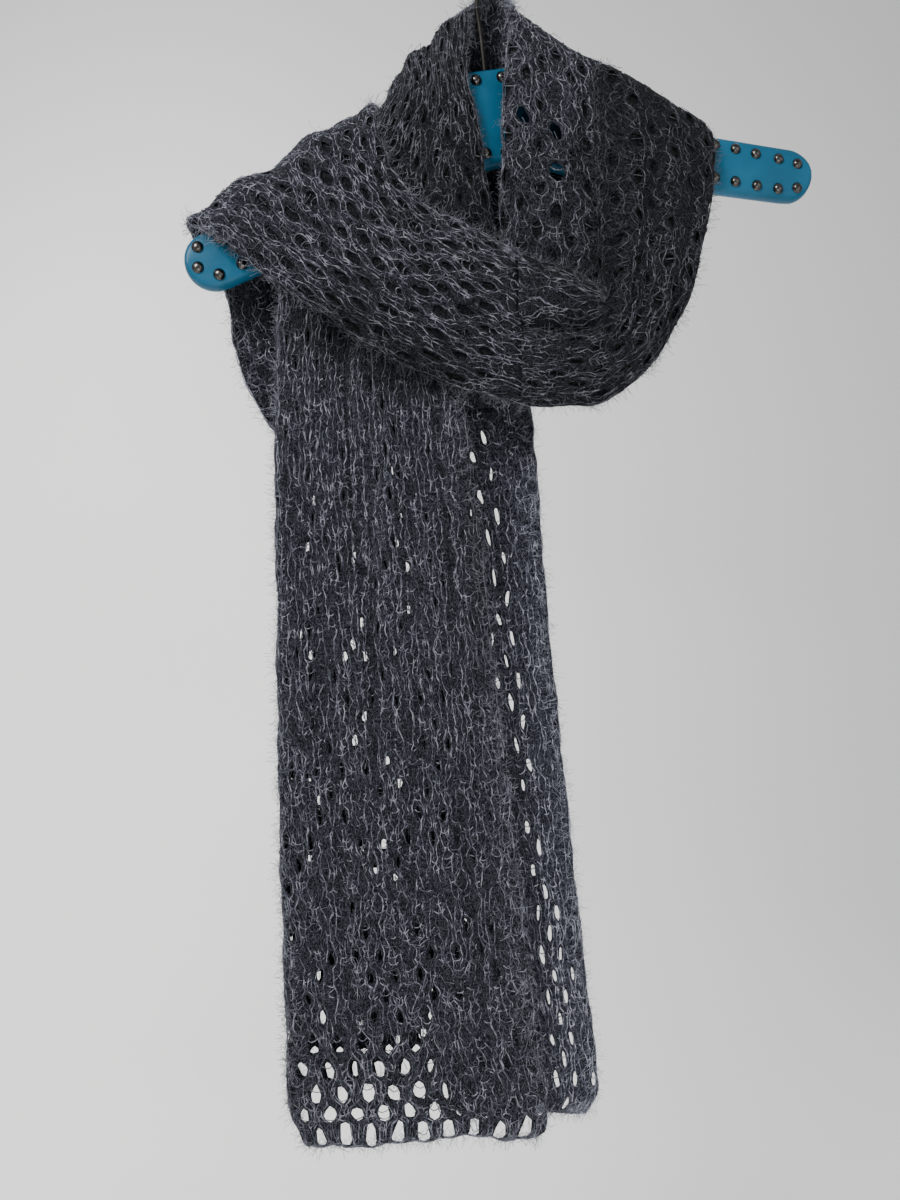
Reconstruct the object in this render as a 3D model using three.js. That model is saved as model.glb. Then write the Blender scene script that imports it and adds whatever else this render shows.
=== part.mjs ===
// A knit lace scarf wound on a covered clothes hanger. Lengths are millimetres, +Z is up and
// the front faces -Y. The origin is the inside top of the hook, where the hanger hangs.
import * as THREE from "three";

// Driving sizes of the cloth
const WALL = 2.5; // thickness of the knitted cloth
const EYELET_ACROSS = 9; // width of one lace column
const EYELET_ALONG = 14.5; // height of one lace row
const FOLD_RADIUS = 5; // inside the lengthwise fold of the front end
const HEM_STEP = 38; // how much higher the folded-back layer of the front end stops
const SEAM = 0.45; // left open between two stretches of one winding

// Driving sizes of the hanger
const WIRE = 1.7; // radius of the hook's wire
const HOOK_RADIUS = 19; // inside radius of the hook
const NECK = new THREE.Vector3(7, 0, -94); // where the hook enters the bar
const BAR_DEPTH = 14;
const BAR_EDGE = 3; // rounding of the bar's edges
const PLATE_DROP = 2; // from the neck down to the flat top of the bar
const BAR_TILT = 10; // degrees, the left arm hangs lower
const BAR_YAW = 11; // degrees, the left arm comes forward
const ARM_END = { x: 209, z: -104, radius: 19.5 };
const STUD_RADIUS = 3.5;
const STUD_HEIGHT = 2.5;
const REST_GAP = 0.3; // clearance between pieces that touch

const knitColour = new THREE.Color(0x4a4d5a);
const leatherColour = new THREE.Color(0x1f7fa0);
const metalColour = new THREE.Color(0x77736c);
const wireColour = new THREE.Color(0x3a3836);
const degrees = Math.PI / 180;

// Sections across the scarf. The inner rail is the edge next to the neck, the outer rail the
// other one. Belly is how far the middle stands out, lift how far it arches up.
const collarRows = [
  { inner: [10, -26, -250], outer: [-134, -37, -250], belly: 3, lift: 0 },
  { inner: [8, -25, -215], outer: [-123, -39, -222], belly: 5, lift: 0 },
  { inner: [2, -24, -171], outer: [-96, -29.5, -183], belly: 6, lift: 0 },
  { inner: [-3, -22, -132], outer: [-73, -23, -147], belly: 6, lift: 0 },
  { inner: [-8, -20, -103], outer: [-60, -19, -122], belly: 5, lift: 0 },
  { inner: [-7, -14, -78], outer: [-58, -10, -108], belly: 5, lift: 0 },
  { inner: [-5, -3, -56], outer: [-54, 4, -104], belly: 5, lift: 0 },
  { inner: [0, 9, -45], outer: [-48, 14, -118], belly: 5, lift: 0 },
  { inner: [7, 14, -40], outer: [-36, 22, -190], belly: 4, lift: 0 },
  { inner: [15, 16, -37], outer: [-5, 27, -222], belly: 4, lift: 0 },
  { inner: [23, 15, -39], outer: [42, 34, -230], belly: 4, lift: 0 },
  { inner: [27, 10, -45], outer: [104, 46, -202], belly: 4, lift: 0 },
  { inner: [29, 4, -51], outer: [146, 48, -164], belly: 3, lift: 0 },
  { inner: [30, 1, -54], outer: [167, 45, -140], belly: 2, lift: 0 },
  { inner: [30, -1, -56], outer: [167, 33, -131], belly: 1, lift: -2 },
];

const rightCollarRows = [
  { inner: [29, -5, -56], outer: [89, 8, -88], belly: 1, lift: -5 },
  { inner: [27, -14, -75], outer: [92, 2, -108], belly: 4, lift: -2 },
  { inner: [23, -20, -106], outer: [94, -5, -142], belly: 4, lift: 0 },
  { inner: [20, -22, -140], outer: [95, -9, -172], belly: 5, lift: 0 },
  { inner: [18, -23, -170], outer: [94, -14, -202], belly: 5, lift: 0 },
  { inner: [16, -25, -201], outer: [92, -20, -231], belly: 5, lift: 0 },
  { inner: [14, -27, -229], outer: [88, -26, -254], belly: 5, lift: 0 },
  { inner: [12, -29, -262], outer: [78, -32, -282], belly: 5, lift: 0 },
];

const loopRows = [
  { inner: [92.6, 8, -91], outer: [167, 28, -132], belly: 1, lift: -1 },
  { inner: [88, -6, -97], outer: [168, 16, -138], belly: 3, lift: 0 },
  { inner: [84, -14, -118], outer: [167, 9, -152], belly: 6, lift: 0 },
  { inner: [83, -20, -146], outer: [165, 4, -172], belly: 8, lift: 0 },
  { inner: [83, -28, -184], outer: [157, -4, -203], belly: 9, lift: 0 },
  { inner: [82, -36, -221], outer: [148, -15, -232], belly: 10, lift: 0 },
  { inner: [82, -44, -250], outer: [137, -26, -263], belly: 9, lift: 0 },
  { inner: [81, -50, -272], outer: [120, -36, -293], belly: 8, lift: 0 },
  { inner: [77, -54, -286], outer: [98, -43, -319], belly: 7, lift: 0 },
  { inner: [68, -56, -292], outer: [72, -49, -335], belly: 7, lift: 0 },
  { inner: [48, -57, -294], outer: [45, -51, -337], belly: 7, lift: 0 },
  { inner: [20.3, -58, -291], outer: [20.3, -52, -335], belly: 7, lift: 0 },
];

const tongueRows = [
  { inner: [75, -56, -271], outer: [75, -56, -281], belly: 3, lift: 0 },
  { inner: [68, -57, -262], outer: [68, -57, -288], belly: 6, lift: 0 },
  { inner: [50, -58, -254], outer: [50, -57, -290], belly: 8, lift: 0 },
  { inner: [20.5, -58, -243], outer: [20.5, -58, -288], belly: 8, lift: 0 },
];

const bandRows = [
  { inner: [20, -58, -242], outer: [20, -52, -335], belly: 7, lift: 0 },
  { inner: [-13, -58, -223], outer: [-30, -53, -323], belly: 8, lift: 0 },
  { inner: [-40, -57, -207], outer: [-75, -55, -307], belly: 8, lift: 0 },
  { inner: [-57, -54, -186], outer: [-113, -56, -279], belly: 8, lift: 0 },
  { inner: [-66, -48, -160], outer: [-143, -56, -247], belly: 7, lift: 0 },
  { inner: [-69, -38, -139], outer: [-173, -57, -225], belly: 6, lift: 0 },
  { inner: [-70, -18, -124], outer: [-192, -42, -205], belly: 3, lift: -3 },
  { inner: [-66, 0, -125], outer: [-193, -24, -212], belly: 3, lift: 0 },
  { inner: [-50, 6, -150], outer: [-184, -18, -228], belly: 4, lift: 0 },
  { inner: [-28, 8, -182], outer: [-172, -11, -251], belly: 5, lift: 0 },
  { inner: [-5, 10, -224], outer: [-170, -7, -281], belly: 5, lift: 0 },
  { inner: [14, 11, -273], outer: [-163, -4, -308], belly: 5, lift: 0 },
  { inner: [28, 10, -324], outer: [-146, 0, -340], belly: 5, lift: 0 },
  { inner: [31, 8, -372], outer: [-113, -3, -388], belly: 5, lift: 0 },
  { inner: [33, 6, -424], outer: [-92, -6, -436], belly: 5, lift: 0 },
  { inner: [35, 4, -478], outer: [-80, -8, -486], belly: 4, lift: 0 },
  { inner: [39, 1, -540], outer: [-68, -10, -544], belly: 4, lift: 0 },
  { inner: [43, -3, -606], outer: [-57, -12, -608], belly: 3, lift: 0 },
  { inner: [48, -8, -680], outer: [-48, -12, -680], belly: 3, lift: 0 },
  { inner: [53, -11, -750], outer: [-42, -12, -750], belly: 2, lift: 0 },
  { inner: [55, -12, -812], outer: [-38, -12, -814], belly: 1, lift: 0 },
];

// The front end hangs folded lengthwise. Fold is the left edge, free the right edge of the
// front layer, and under the width of the layer that turns back behind it.
const frontRows = [
  { fold: -136, free: -16, z: -250.6, under: 100 },
  { fold: -139, free: -18, z: -310, under: 104 },
  { fold: -143, free: -14, z: -375, under: 108 },
  { fold: -144, free: -8, z: -440, under: 110 },
  { fold: -147, free: -1, z: -540, under: 110 },
  { fold: -149, free: 8, z: -660, under: 110 },
  { fold: -149, free: 14, z: -737, under: 110 },
  { fold: -149, free: 20, z: -814, under: 110 },
];
const FRONT_Y = -40; // depth of the front layer

// Long soft folds of the front end, each a trough that runs down the cloth
const creases = [
  { x: -92, width: 9, depth: 4, top: -270, bottom: -520 },
  { x: -48, width: 12, depth: 3, top: -262, bottom: -700 },
  { x: -118, width: 10, depth: 2.5, top: -430, bottom: -640 },
  { x: -22, width: 8, depth: 3, top: -420, bottom: -790 },
];

function curveThrough(before, start, end, after, t) {
  const slopeIn = (end - before) / 2;
  const slopeOut = (after - start) / 2;
  const bend = 2 * (start - end) + slopeIn + slopeOut;
  return start + slopeIn * t + (3 * (end - start) - 2 * slopeIn - slopeOut) * t * t + bend * t * t * t;
}

function readRow(rows, t) {
  const index = Math.min(Math.max(Math.floor(t), 0), rows.length - 2);
  const near = [-1, 0, 1, 2].map((step) => rows[Math.min(Math.max(index + step, 0), rows.length - 1)]);
  const value = (read) => curveThrough(...near.map(read), t - index);
  const rail = (name) => new THREE.Vector3(...[0, 1, 2].map((axis) => value((row) => row[name][axis])));
  return {
    inner: rail("inner"),
    outer: rail("outer"),
    belly: value((row) => row.belly),
    lift: value((row) => row.lift),
  };
}

function midPoint(rows, t) {
  const row = readRow(rows, t);
  return row.inner.add(row.outer).multiplyScalar(0.5);
}

// A point of the cloth: u runs from the inner to the outer rail, t along the rows
function clothPoint(rows, u, t) {
  const last = rows.length - 1;
  const { inner, outer, belly, lift } = readRow(rows, t);
  const reach = 0.2;
  const travel = midPoint(rows, Math.min(t + reach, last)).sub(midPoint(rows, Math.max(t - reach, 0)));
  const outward = travel.cross(outer.clone().sub(inner)).normalize();
  const side = 2 * u - 1;
  const point = inner.lerp(outer, u);
  point.addScaledVector(outward, belly * (1 - side ** 4));
  point.z += lift * (1 - side ** 2);
  return point;
}

function creaseDepth(x, z) {
  let depth = 0;
  for (const crease of creases) {
    const down = (z - crease.top) / (crease.bottom - crease.top);
    if (down <= 0 || down >= 1) continue;
    const across = (x - crease.x) / crease.width;
    depth += crease.depth * Math.sin(Math.PI * down) * Math.exp(-across * across);
  }
  return depth;
}

// A point of the front end: distance runs from the free edge round the fold
function frontPoint(u, t) {
  const index = Math.min(Math.floor(t), frontRows.length - 2);
  const near = [-1, 0, 1, 2].map((step) =>
    frontRows[Math.min(Math.max(index + step, 0), frontRows.length - 1)]);
  const value = (name) => curveThrough(...near.map((row) => row[name]), t - index);
  const [fold, free, under] = [value("fold"), value("free"), value("under")];
  const flat = free - fold - FOLD_RADIUS;
  const turn = Math.PI * FOLD_RADIUS;
  const distance = u * (flat + turn + under);
  const behind = THREE.MathUtils.clamp((distance - flat) / turn, 0, 1);
  const z = value("z") + HEM_STEP * Math.max(0, t / (frontRows.length - 1) - 0.5) * 2 * smooth(behind);
  if (distance <= flat) {
    const x = free - distance;
    return new THREE.Vector3(x, FRONT_Y + creaseDepth(x, z), z);
  }
  if (distance < flat + turn) {
    const angle = (distance - flat) / FOLD_RADIUS;
    const x = fold + FOLD_RADIUS - FOLD_RADIUS * Math.sin(angle);
    return new THREE.Vector3(x, FRONT_Y + FOLD_RADIUS * (1 - Math.cos(angle)), z);
  }
  return new THREE.Vector3(fold + FOLD_RADIUS + distance - flat - turn, FRONT_Y + 2 * FOLD_RADIUS, z);
}

function smooth(share) {
  return share * share * (3 - 2 * share);
}

// Corners of one eyelet inside its cell, as shares of the cell
const eyeletRing = [[0.3, 0.1], [0.7, 0.1], [0.92, 0.5], [0.7, 0.9], [0.3, 0.9], [0.08, 0.5]];

// A closed wall on both sides of a surface. The surface takes a column and a row number.
function wall(surface, columns, rows, isEyelet = () => false) {
  const positions = [];
  const faces = [];
  const addPair = (i, j) => {
    const step = 0.05;
    const point = surface(i, j);
    const across = surface(i + step, j).sub(surface(i - step, j));
    const along = surface(i, j + step).sub(surface(i, j - step));
    const normal = across.cross(along).normalize().multiplyScalar(WALL / 2);
    positions.push(...point.clone().add(normal).toArray(), ...point.clone().sub(normal).toArray());
    return positions.length / 3 - 2;
  };
  const corners = [];
  for (let i = 0; i <= columns; i++) {
    corners.push([]);
    for (let j = 0; j <= rows; j++) corners[i].push(addPair(i, j));
  }
  const addFace = (a, b, c) => faces.push(a, b, c, a + 1, c + 1, b + 1);
  const addEdge = (a, b) => faces.push(b, a, a + 1, b, a + 1, b + 1);
  for (let i = 0; i < columns; i++) {
    for (let j = 0; j < rows; j++) {
      const [a, b, c, d] = [corners[i][j], corners[i + 1][j], corners[i + 1][j + 1], corners[i][j + 1]];
      if (!isEyelet(i, j)) {
        addFace(a, b, c);
        addFace(a, c, d);
        continue;
      }
      const ring = eyeletRing.map(([across, along]) => addPair(i + across, j + along));
      const [p, q, r, s, t, u] = ring;
      const around = [[a, b, q], [a, q, p], [b, r, q], [b, c, r], [c, s, r]];
      around.push([c, d, t], [c, t, s], [d, u, t], [d, a, u], [a, p, u]);
      around.forEach((face) => addFace(...face));
      ring.forEach((corner, k) => addEdge(ring[(k + 1) % ring.length], corner));
    }
  }
  for (let i = 0; i < columns; i++) {
    addEdge(corners[i][0], corners[i + 1][0]);
    addEdge(corners[i + 1][rows], corners[i][rows]);
  }
  for (let j = 0; j < rows; j++) {
    addEdge(corners[0][j + 1], corners[0][j]);
    addEdge(corners[columns][j], corners[columns][j + 1]);
  }
  const geometry = new THREE.BufferGeometry();
  geometry.setAttribute("position", new THREE.Float32BufferAttribute(positions, 3));
  geometry.setIndex(faces);
  geometry.computeVertexNormals();
  return geometry;
}

const scarf = new THREE.Group();

function addCloth(name, geometry) {
  const material = new THREE.MeshStandardMaterial({ color: knitColour, roughness: 0.95, metalness: 0 });
  const mesh = new THREE.Mesh(geometry, material);
  mesh.name = name;
  scarf.add(mesh);
}

// One stretch of a winding, from one row number to another, short of the next by the seam
function addStretch(name, rows, from, to, columns, steps, isEyelet) {
  const lastStep = midPoint(rows, to).distanceTo(midPoint(rows, to - 1));
  const end = to - SEAM / lastStep;
  const surface = (i, j) => clothPoint(rows, i / columns, from + (j / steps) * (end - from));
  addCloth(name, wall(surface, columns, steps, isEyelet));
}

function addCollars() {
  const overNeck = 6;
  addStretch("left_collar", collarRows, 0, overNeck, 12, 14);
  addStretch("neck_back", collarRows, overNeck, collarRows.length - 1, 12, 14);
  addStretch("right_collar", rightCollarRows, 0, rightCollarRows.length - 1, 9, 12,
    (i, j) => i < 6 && j > 1 && j < 8 && (i + j) % 2 === 0);
}

function addLoopAndBand() {
  const bandEnd = 5;
  const shoulderEnd = 7;
  addStretch("right_loop", loopRows, 0, loopRows.length - 1, 10, 20);
  addStretch("inner_fold", tongueRows, 0, tongueRows.length - 1, 8, 8);
  addStretch("cross_band", bandRows, 0, bandEnd, 12, 15,
    (i, j) => i > 4 && i < 10 && j > 3 && (i + j) % 2 === 0);
  addStretch("shoulder_fold", bandRows, bandEnd, shoulderEnd, 12, 8);
}

// The back end has two open lace columns along its right edge, of real size all the way down
function addBackEnd() {
  const dropStart = 7;
  const dropEnd = 12;
  const last = bandRows.length - 1;
  const steps = 32;
  const columns = 10;
  const laceColumns = 5;
  addStretch("back_drop", bandRows, dropStart, dropEnd, 12, 12);
  const surface = (i, j) => {
    const t = dropEnd + (j / steps) * (last - dropEnd);
    const row = readRow(bandRows, t);
    const width = row.inner.distanceTo(row.outer);
    const lace = laceColumns * EYELET_ACROSS;
    const rest = (width - lace) / (columns - laceColumns);
    const distance = i < laceColumns ? i * EYELET_ACROSS : lace + (i - laceColumns) * rest;
    return clothPoint(bandRows, distance / width, t);
  };
  const isEyelet = (i, j) => (j >= steps - 3 ? i < 9 : i < 4) && (i + j) % 2 === 0;
  addCloth("back_end", wall(surface, columns, steps, isEyelet));
}

function addFrontEnd() {
  const columns = 32;
  const hemRows = 6;
  const topRows = 13;
  const steps = topRows + hemRows;
  const last = frontRows.length - 1;
  const length = frontRows[0].z - frontRows[last].z;
  const hemShare = (hemRows * EYELET_ALONG) / length;
  const heightOf = (j) => (j <= topRows
    ? (j / topRows) * (1 - hemShare)
    : 1 - hemShare + ((j - topRows) / hemRows) * hemShare);
  const rowAt = (share) => {
    const z = frontRows[0].z - share * length;
    let index = 0;
    while (index < last - 1 && z < frontRows[index + 1].z) index++;
    return index + (z - frontRows[index].z) / (frontRows[index + 1].z - frontRows[index].z);
  };
  const surface = (i, j) => frontPoint(i / columns, rowAt(Math.min(heightOf(j), 1)));
  const isEyelet = (i, j) => j > topRows + 1 && (i + j) % 2 === 0;
  addCloth("front_end", wall(surface, columns, steps, isEyelet));
}

const hanger = new THREE.Group();
hanger.position.copy(NECK);
hanger.rotation.set(0, -BAR_TILT * degrees, BAR_YAW * degrees, "ZYX");

function addBar() {
  const plate = { half: 16, top: -PLATE_DROP, bottom: -58 };
  const shoulder = { x: 50, z: -38 };
  const under = { x: 40, z: -79 };
  const { x, z, radius } = ARM_END;
  const topAngle = 74 * degrees;
  const lowAngle = -105 * degrees;
  const shape = new THREE.Shape();
  shape.moveTo(-plate.half, plate.top);
  shape.lineTo(plate.half, plate.top);
  shape.quadraticCurveTo(plate.half + 8, shoulder.z + 8, shoulder.x, shoulder.z);
  shape.absarc(x, z, radius, topAngle, lowAngle, true);
  shape.lineTo(under.x, under.z);
  shape.quadraticCurveTo(0, plate.bottom, -under.x, under.z);
  shape.absarc(-x, z, radius, Math.PI - lowAngle, Math.PI - topAngle, true);
  shape.lineTo(-shoulder.x, shoulder.z);
  shape.quadraticCurveTo(-plate.half - 8, shoulder.z + 8, -plate.half, plate.top);
  const geometry = new THREE.ExtrudeGeometry(shape, {
    depth: BAR_DEPTH - 2 * BAR_EDGE,
    bevelEnabled: true,
    bevelThickness: BAR_EDGE,
    bevelSize: BAR_EDGE,
    bevelOffset: -BAR_EDGE,
    bevelSegments: 2,
    curveSegments: 8,
  });
  geometry.translate(0, 0, -BAR_DEPTH / 2 + BAR_EDGE);
  geometry.rotateX(Math.PI / 2);
  const material = new THREE.MeshStandardMaterial({ color: leatherColour, roughness: 0.45, metalness: 0 });
  const bar = new THREE.Mesh(geometry, material);
  bar.name = "hanger_bar";
  hanger.add(bar);
}

// Stud places on the front of the bar, in the bar's own plane
const studs = [
  { name: "stud_centre_1", x: -9.5, z: -10 },
  { name: "stud_centre_2", x: 9, z: -10 },
  { name: "stud_centre_3", x: -13, z: -60 },
  { name: "stud_centre_4", x: 1, z: -61 },
  { name: "stud_right_top_1", x: 156, z: -76 },
  { name: "stud_right_top_2", x: 171, z: -81 },
  { name: "stud_right_top_3", x: 186, z: -86.5 },
  { name: "stud_right_top_4", x: 203, z: -92.5 },
  { name: "stud_right_top_5", x: 217, z: -98 },
  { name: "stud_right_low_1", x: 151, z: -99 },
  { name: "stud_right_low_2", x: 166, z: -104 },
  { name: "stud_right_low_3", x: 182, z: -109 },
  { name: "stud_right_low_4", x: 198, z: -113.5 },
  { name: "stud_right_low_5", x: 213, z: -115 },
  { name: "stud_left_top_1", x: -203, z: -91 },
  { name: "stud_left_top_2", x: -218, z: -95 },
  { name: "stud_left_tip", x: -220.5, z: -108 },
  { name: "stud_left_low_1", x: -192, z: -110 },
  { name: "stud_left_low_2", x: -208, z: -114.5 },
];

function addStuds() {
  const dome = [[0, 0], [1, 0], [0.9, 0.45], [0.55, 0.85], [0, 1]];
  const profile = dome.map(([out, up]) => new THREE.Vector2(out * STUD_RADIUS, up * STUD_HEIGHT));
  for (const stud of studs) {
    const geometry = new THREE.LatheGeometry(profile, 8);
    geometry.translate(0, BAR_DEPTH / 2 + REST_GAP, 0);
    geometry.rotateX(Math.PI);
    const material = new THREE.MeshStandardMaterial({ color: metalColour, roughness: 0.3, metalness: 0.9 });
    const mesh = new THREE.Mesh(geometry, material);
    mesh.name = stud.name;
    mesh.position.set(stud.x, 0, stud.z);
    hanger.add(mesh);
  }
}

// The wire rises from the bar and turns once round over the top
function addHook() {
  const middle = HOOK_RADIUS + WIRE;
  const points = [
    new THREE.Vector3(NECK.x + 0.3, 0, NECK.z - PLATE_DROP + REST_GAP + 0.15),
    new THREE.Vector3(5.4, 0, -70),
    new THREE.Vector3(3.6, 0, -52),
  ];
  for (let turn = -75; turn <= 165; turn += 20) {
    const angle = turn * degrees;
    points.push(new THREE.Vector3(middle * Math.cos(angle), 0, middle * Math.sin(angle) - HOOK_RADIUS));
  }
  const section = new THREE.Shape();
  section.absarc(0, 0, WIRE, 0, 2 * Math.PI, false);
  const geometry = new THREE.ExtrudeGeometry(section, {
    extrudePath: new THREE.CatmullRomCurve3(points),
    steps: 28,
    curveSegments: 4,
    bevelEnabled: false,
  });
  const material = new THREE.MeshStandardMaterial({ color: wireColour, roughness: 0.4, metalness: 0.8 });
  const mesh = new THREE.Mesh(geometry, material);
  mesh.name = "hanger_hook";
  scarf.add(mesh);
}

addFrontEnd();
addCollars();
addLoopAndBand();
addBackEnd();
addBar();
addStuds();
addHook();
scarf.add(hanger);

export default scarf;
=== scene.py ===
import math

import bmesh
import bpy
import numpy as np
from mathutils import Matrix, Vector


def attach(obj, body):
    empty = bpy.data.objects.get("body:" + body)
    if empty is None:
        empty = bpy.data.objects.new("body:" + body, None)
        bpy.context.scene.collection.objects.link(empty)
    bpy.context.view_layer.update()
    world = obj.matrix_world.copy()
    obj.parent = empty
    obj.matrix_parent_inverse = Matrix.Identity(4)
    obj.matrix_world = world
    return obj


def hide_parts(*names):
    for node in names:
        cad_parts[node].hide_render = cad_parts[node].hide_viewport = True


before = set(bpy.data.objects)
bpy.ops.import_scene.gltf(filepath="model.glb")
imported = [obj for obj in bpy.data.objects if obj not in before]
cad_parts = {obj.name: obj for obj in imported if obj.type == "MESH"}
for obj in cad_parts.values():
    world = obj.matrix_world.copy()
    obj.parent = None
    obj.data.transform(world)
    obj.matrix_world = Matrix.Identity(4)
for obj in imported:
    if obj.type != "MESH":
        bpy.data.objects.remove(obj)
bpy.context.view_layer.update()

# A knit lace scarf wound on a covered clothes hanger. Lengths are metres, +Z is up and the
# front faces -Y. The origin is the inside top of the hook.

# Driving sizes of the cloth
PITCH = 0.017  # from one eyelet to the next across the scarf
ROW = 0.0145  # height of one lace row
CLOTH_THICK = 0.0004
FRONT_PITCHES = 17  # across the unfolded front end
GATHER = 1.08  # flat width of a stretch for each metre of its width as it hangs
LAYER_GAP = 0.0016  # from a stretch to the second layer behind it
HANGING = ("front_end", "back_end")
FOLD_RADIUS = 0.005  # inside the lengthwise fold of the front end
TURNED_BACK = 0.56  # share of the front end's width beyond which it hangs behind
HEM_STEP = 0.038  # how much higher the folded-back layer of the front end stops
FRONT_Y = -0.040  # depth of the front layer
REACH = 0.2  # of a row, each way, for the direction of travel
LENGTH_STEPS = 200  # along a winding, to measure its length
ROUNDED = 0.6  # power that fills out the ends of folds and bows
ROLL_RADIUS = 0.004  # of the rolled side edges
ROLL_START = 0.5  # radians that the cloth has turned where a rolled edge begins
LUMPS = (0.0005, 0.0013, 0.0006)  # how uneven the hanging cloth is, along each axis

# Eyelets, in shares of half a pitch and of a row
WIDEST = 0.95  # of its place in the lace, the widest that an eyelet opens
WIDTH_RANGE = (0.62, 1.12)  # each one against the others of its stretch
HEIGHT_RANGE = (0.70, 1.08)
CORNER_RANGE = (0.72, 1.14)  # each corner of its ring against the others
OFF_CENTRE = 0.04
RIM = 0.02  # of its place, the least that stays closed along each side

# Yarn, in pitches and rows where it isn't metres
YARN_RADIUS = 0.00041
STRANDS = [(0.245, 0.035, 0.05), (0.285, 0.14, 0.11)]  # half width at eyelets, between, at rows
EYE_LEAST = 0.45  # of that half width, what is left of it round a shut eyelet
EYE_FULL = 0.84  # opening of an eyelet that has all of it
EYE_FLAT = 0.4  # of the weave, at an eyelet
WANDER = 0.022  # slow drift to either side
CRINKLE = 0.062  # quick kinks to either side
WEAVE = 0.0003  # metres that strands pass over and under one another
CROSSED = 0.35  # chance that a loose strand crosses an eyelet
EYELET_RUNGS = (0.30, 0.70)  # heights of the loops across an eyelet
CLOTH_RUNGS = (0.16, 0.48, 0.80)  # and across the knitted places
RUNG_REACH = (0.17, 0.25)
RUNG_TILT = 0.08
RUNG_BOW = 0.13
RUNG_DEPTH = 0.00035
BORDER_DRIFT = 0.05
BORDER_DEPTH = 0.0004
YARN_STEPS = 5  # of a strand for each row
SELDOM_SEEN = ("neck_back", "back_drop", "shoulder_fold")  # these have coarser yarn
SELDOM_STEPS = 4

# Loose fibres
FUZZ_INSIDE = 0.26  # share of the full number of loose fibres, inside and near the side edges
FUZZ_EDGE = 1.5
FIBRE_SCALE = (0.35, 1.15)
ARC_STEPS = 8  # of the curve that a fibre is taken from
BACK_FIBRES = 0.35  # share of the lying fibres on the hidden side of the cloth
FRINGE = 430000.0  # short fibres for each square metre of yarn along the edges
FRINGE_LENGTH = 0.009
FRINGE_RADIUS = 0.00011
SHORT_FRINGE = ("left_collar", "right_collar")  # theirs is half as long, over the bar
FRINGE_SIDE = 0.45  # pitches that it reaches in from a side edge
FRINGE_FOLD = 0.5  # pitches to either side of the front end's fold
FRINGE_END = 0.35  # rows up from an end
FOLD_PLACE = (0.533, 0.060)  # share of the width where the fold is at the top, and its drift

# Driving sizes of the hanger, whose bar has its own plane, with heights from the neck
NECK = Vector((0.007, 0.0, -0.094))
BAR_DEPTH = 0.014
BAR_TILT = math.radians(10)
BAR_YAW = math.radians(11)
BAR_TURN = Matrix.Rotation(BAR_YAW, 3, "Z") @ Matrix.Rotation(-BAR_TILT, 3, "Y")
BAR_PLATE = 0.016  # half width of the flat top at the neck
BAR_SHOULDER = 0.050  # from the middle to where the arm begins
BAR_END = 0.209  # from the middle to the centre of the round end
BAR_END_RADIUS = 0.0195
BAR_END_HEIGHT = -0.104
PLATE_TOP = -0.002
PLATE_CURVE = (0.008, -0.030)  # how far out and how high the curve to the shoulder is pulled
SHOULDER_TOP = -0.038
BAR_UNDER = 0.040  # half width of the hollow under the neck
UNDER_BOTTOM = -0.079
UNDER_RISE = 0.021
TOP_MEETS = 74  # degrees on the round end where the upper edge of the arm meets it
UNDER_MEETS = -105
BAR_EDGE = 0.0045
EDGE_ANGLES = (25, 50, 75, 90, 105, 130, 155)
FACE_POINTS = 12
BAR_CROWN = 0.10  # of the half depth, how far the faces bulge
BAR_THINS = 0.008  # half height under which the bar gets thinner
PLATE_STATIONS = [0.016, 0.0175, 0.0195, 0.022, 0.0255, 0.030]  # closer, where the top turns down
HOOK_RADIUS = 0.019
HOOK_TURN = range(-75, 166, 20)  # degrees round its middle
WIRE = 0.0017
HOOK_FOOT = [(0.0073, 0.0, NECK.z - 0.00155), (0.0054, 0.0, -0.070), (0.0036, 0.0, -0.052)]
STUD_RADIUS = 0.0039
STUD_HEIGHT = 0.0028
STUD_SUNK = 0.0004  # into the leather
STUD_SIDES = 16
WIRE_SIDES = 14
WIRE_POINTS = 110

# Where the photograph was taken
CAMERA_PLACE = (-0.0305, -0.725, -0.4614)
CAMERA_ROLL = math.radians(2.15)
CAMERA_LENS = 31.34
CAMERA_SENSOR = 36


# Sections across the scarf, from part.mjs: inner rail, outer rail, belly and lift
COLLAR_ROWS = [
    ((0.01, -0.026, -0.25), (-0.134, -0.037, -0.25), 0.003, 0.0),
    ((0.008, -0.025, -0.215), (-0.123, -0.039, -0.222), 0.005, 0.0),
    ((0.002, -0.024, -0.171), (-0.096, -0.0295, -0.183), 0.006, 0.0),
    ((-0.003, -0.022, -0.132), (-0.073, -0.023, -0.147), 0.006, 0.0),
    ((-0.008, -0.02, -0.103), (-0.06, -0.019, -0.122), 0.005, 0.0),
    ((-0.007, -0.014, -0.078), (-0.058, -0.01, -0.108), 0.005, 0.0),
    ((-0.005, -0.003, -0.056), (-0.054, 0.004, -0.104), 0.005, 0.0),
    ((0.0, 0.009, -0.045), (-0.048, 0.014, -0.118), 0.005, 0.0),
    ((0.007, 0.014, -0.04), (-0.036, 0.022, -0.19), 0.004, 0.0),
    ((0.015, 0.016, -0.037), (-0.005, 0.027, -0.222), 0.004, 0.0),
    ((0.023, 0.015, -0.039), (0.042, 0.034, -0.23), 0.004, 0.0),
    ((0.027, 0.01, -0.045), (0.104, 0.046, -0.202), 0.004, 0.0),
    ((0.029, 0.004, -0.051), (0.146, 0.048, -0.164), 0.003, 0.0),
    ((0.03, 0.001, -0.054), (0.167, 0.045, -0.14), 0.002, 0.0),
    ((0.03, -0.001, -0.056), (0.167, 0.033, -0.131), 0.001, -0.002),
]

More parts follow.
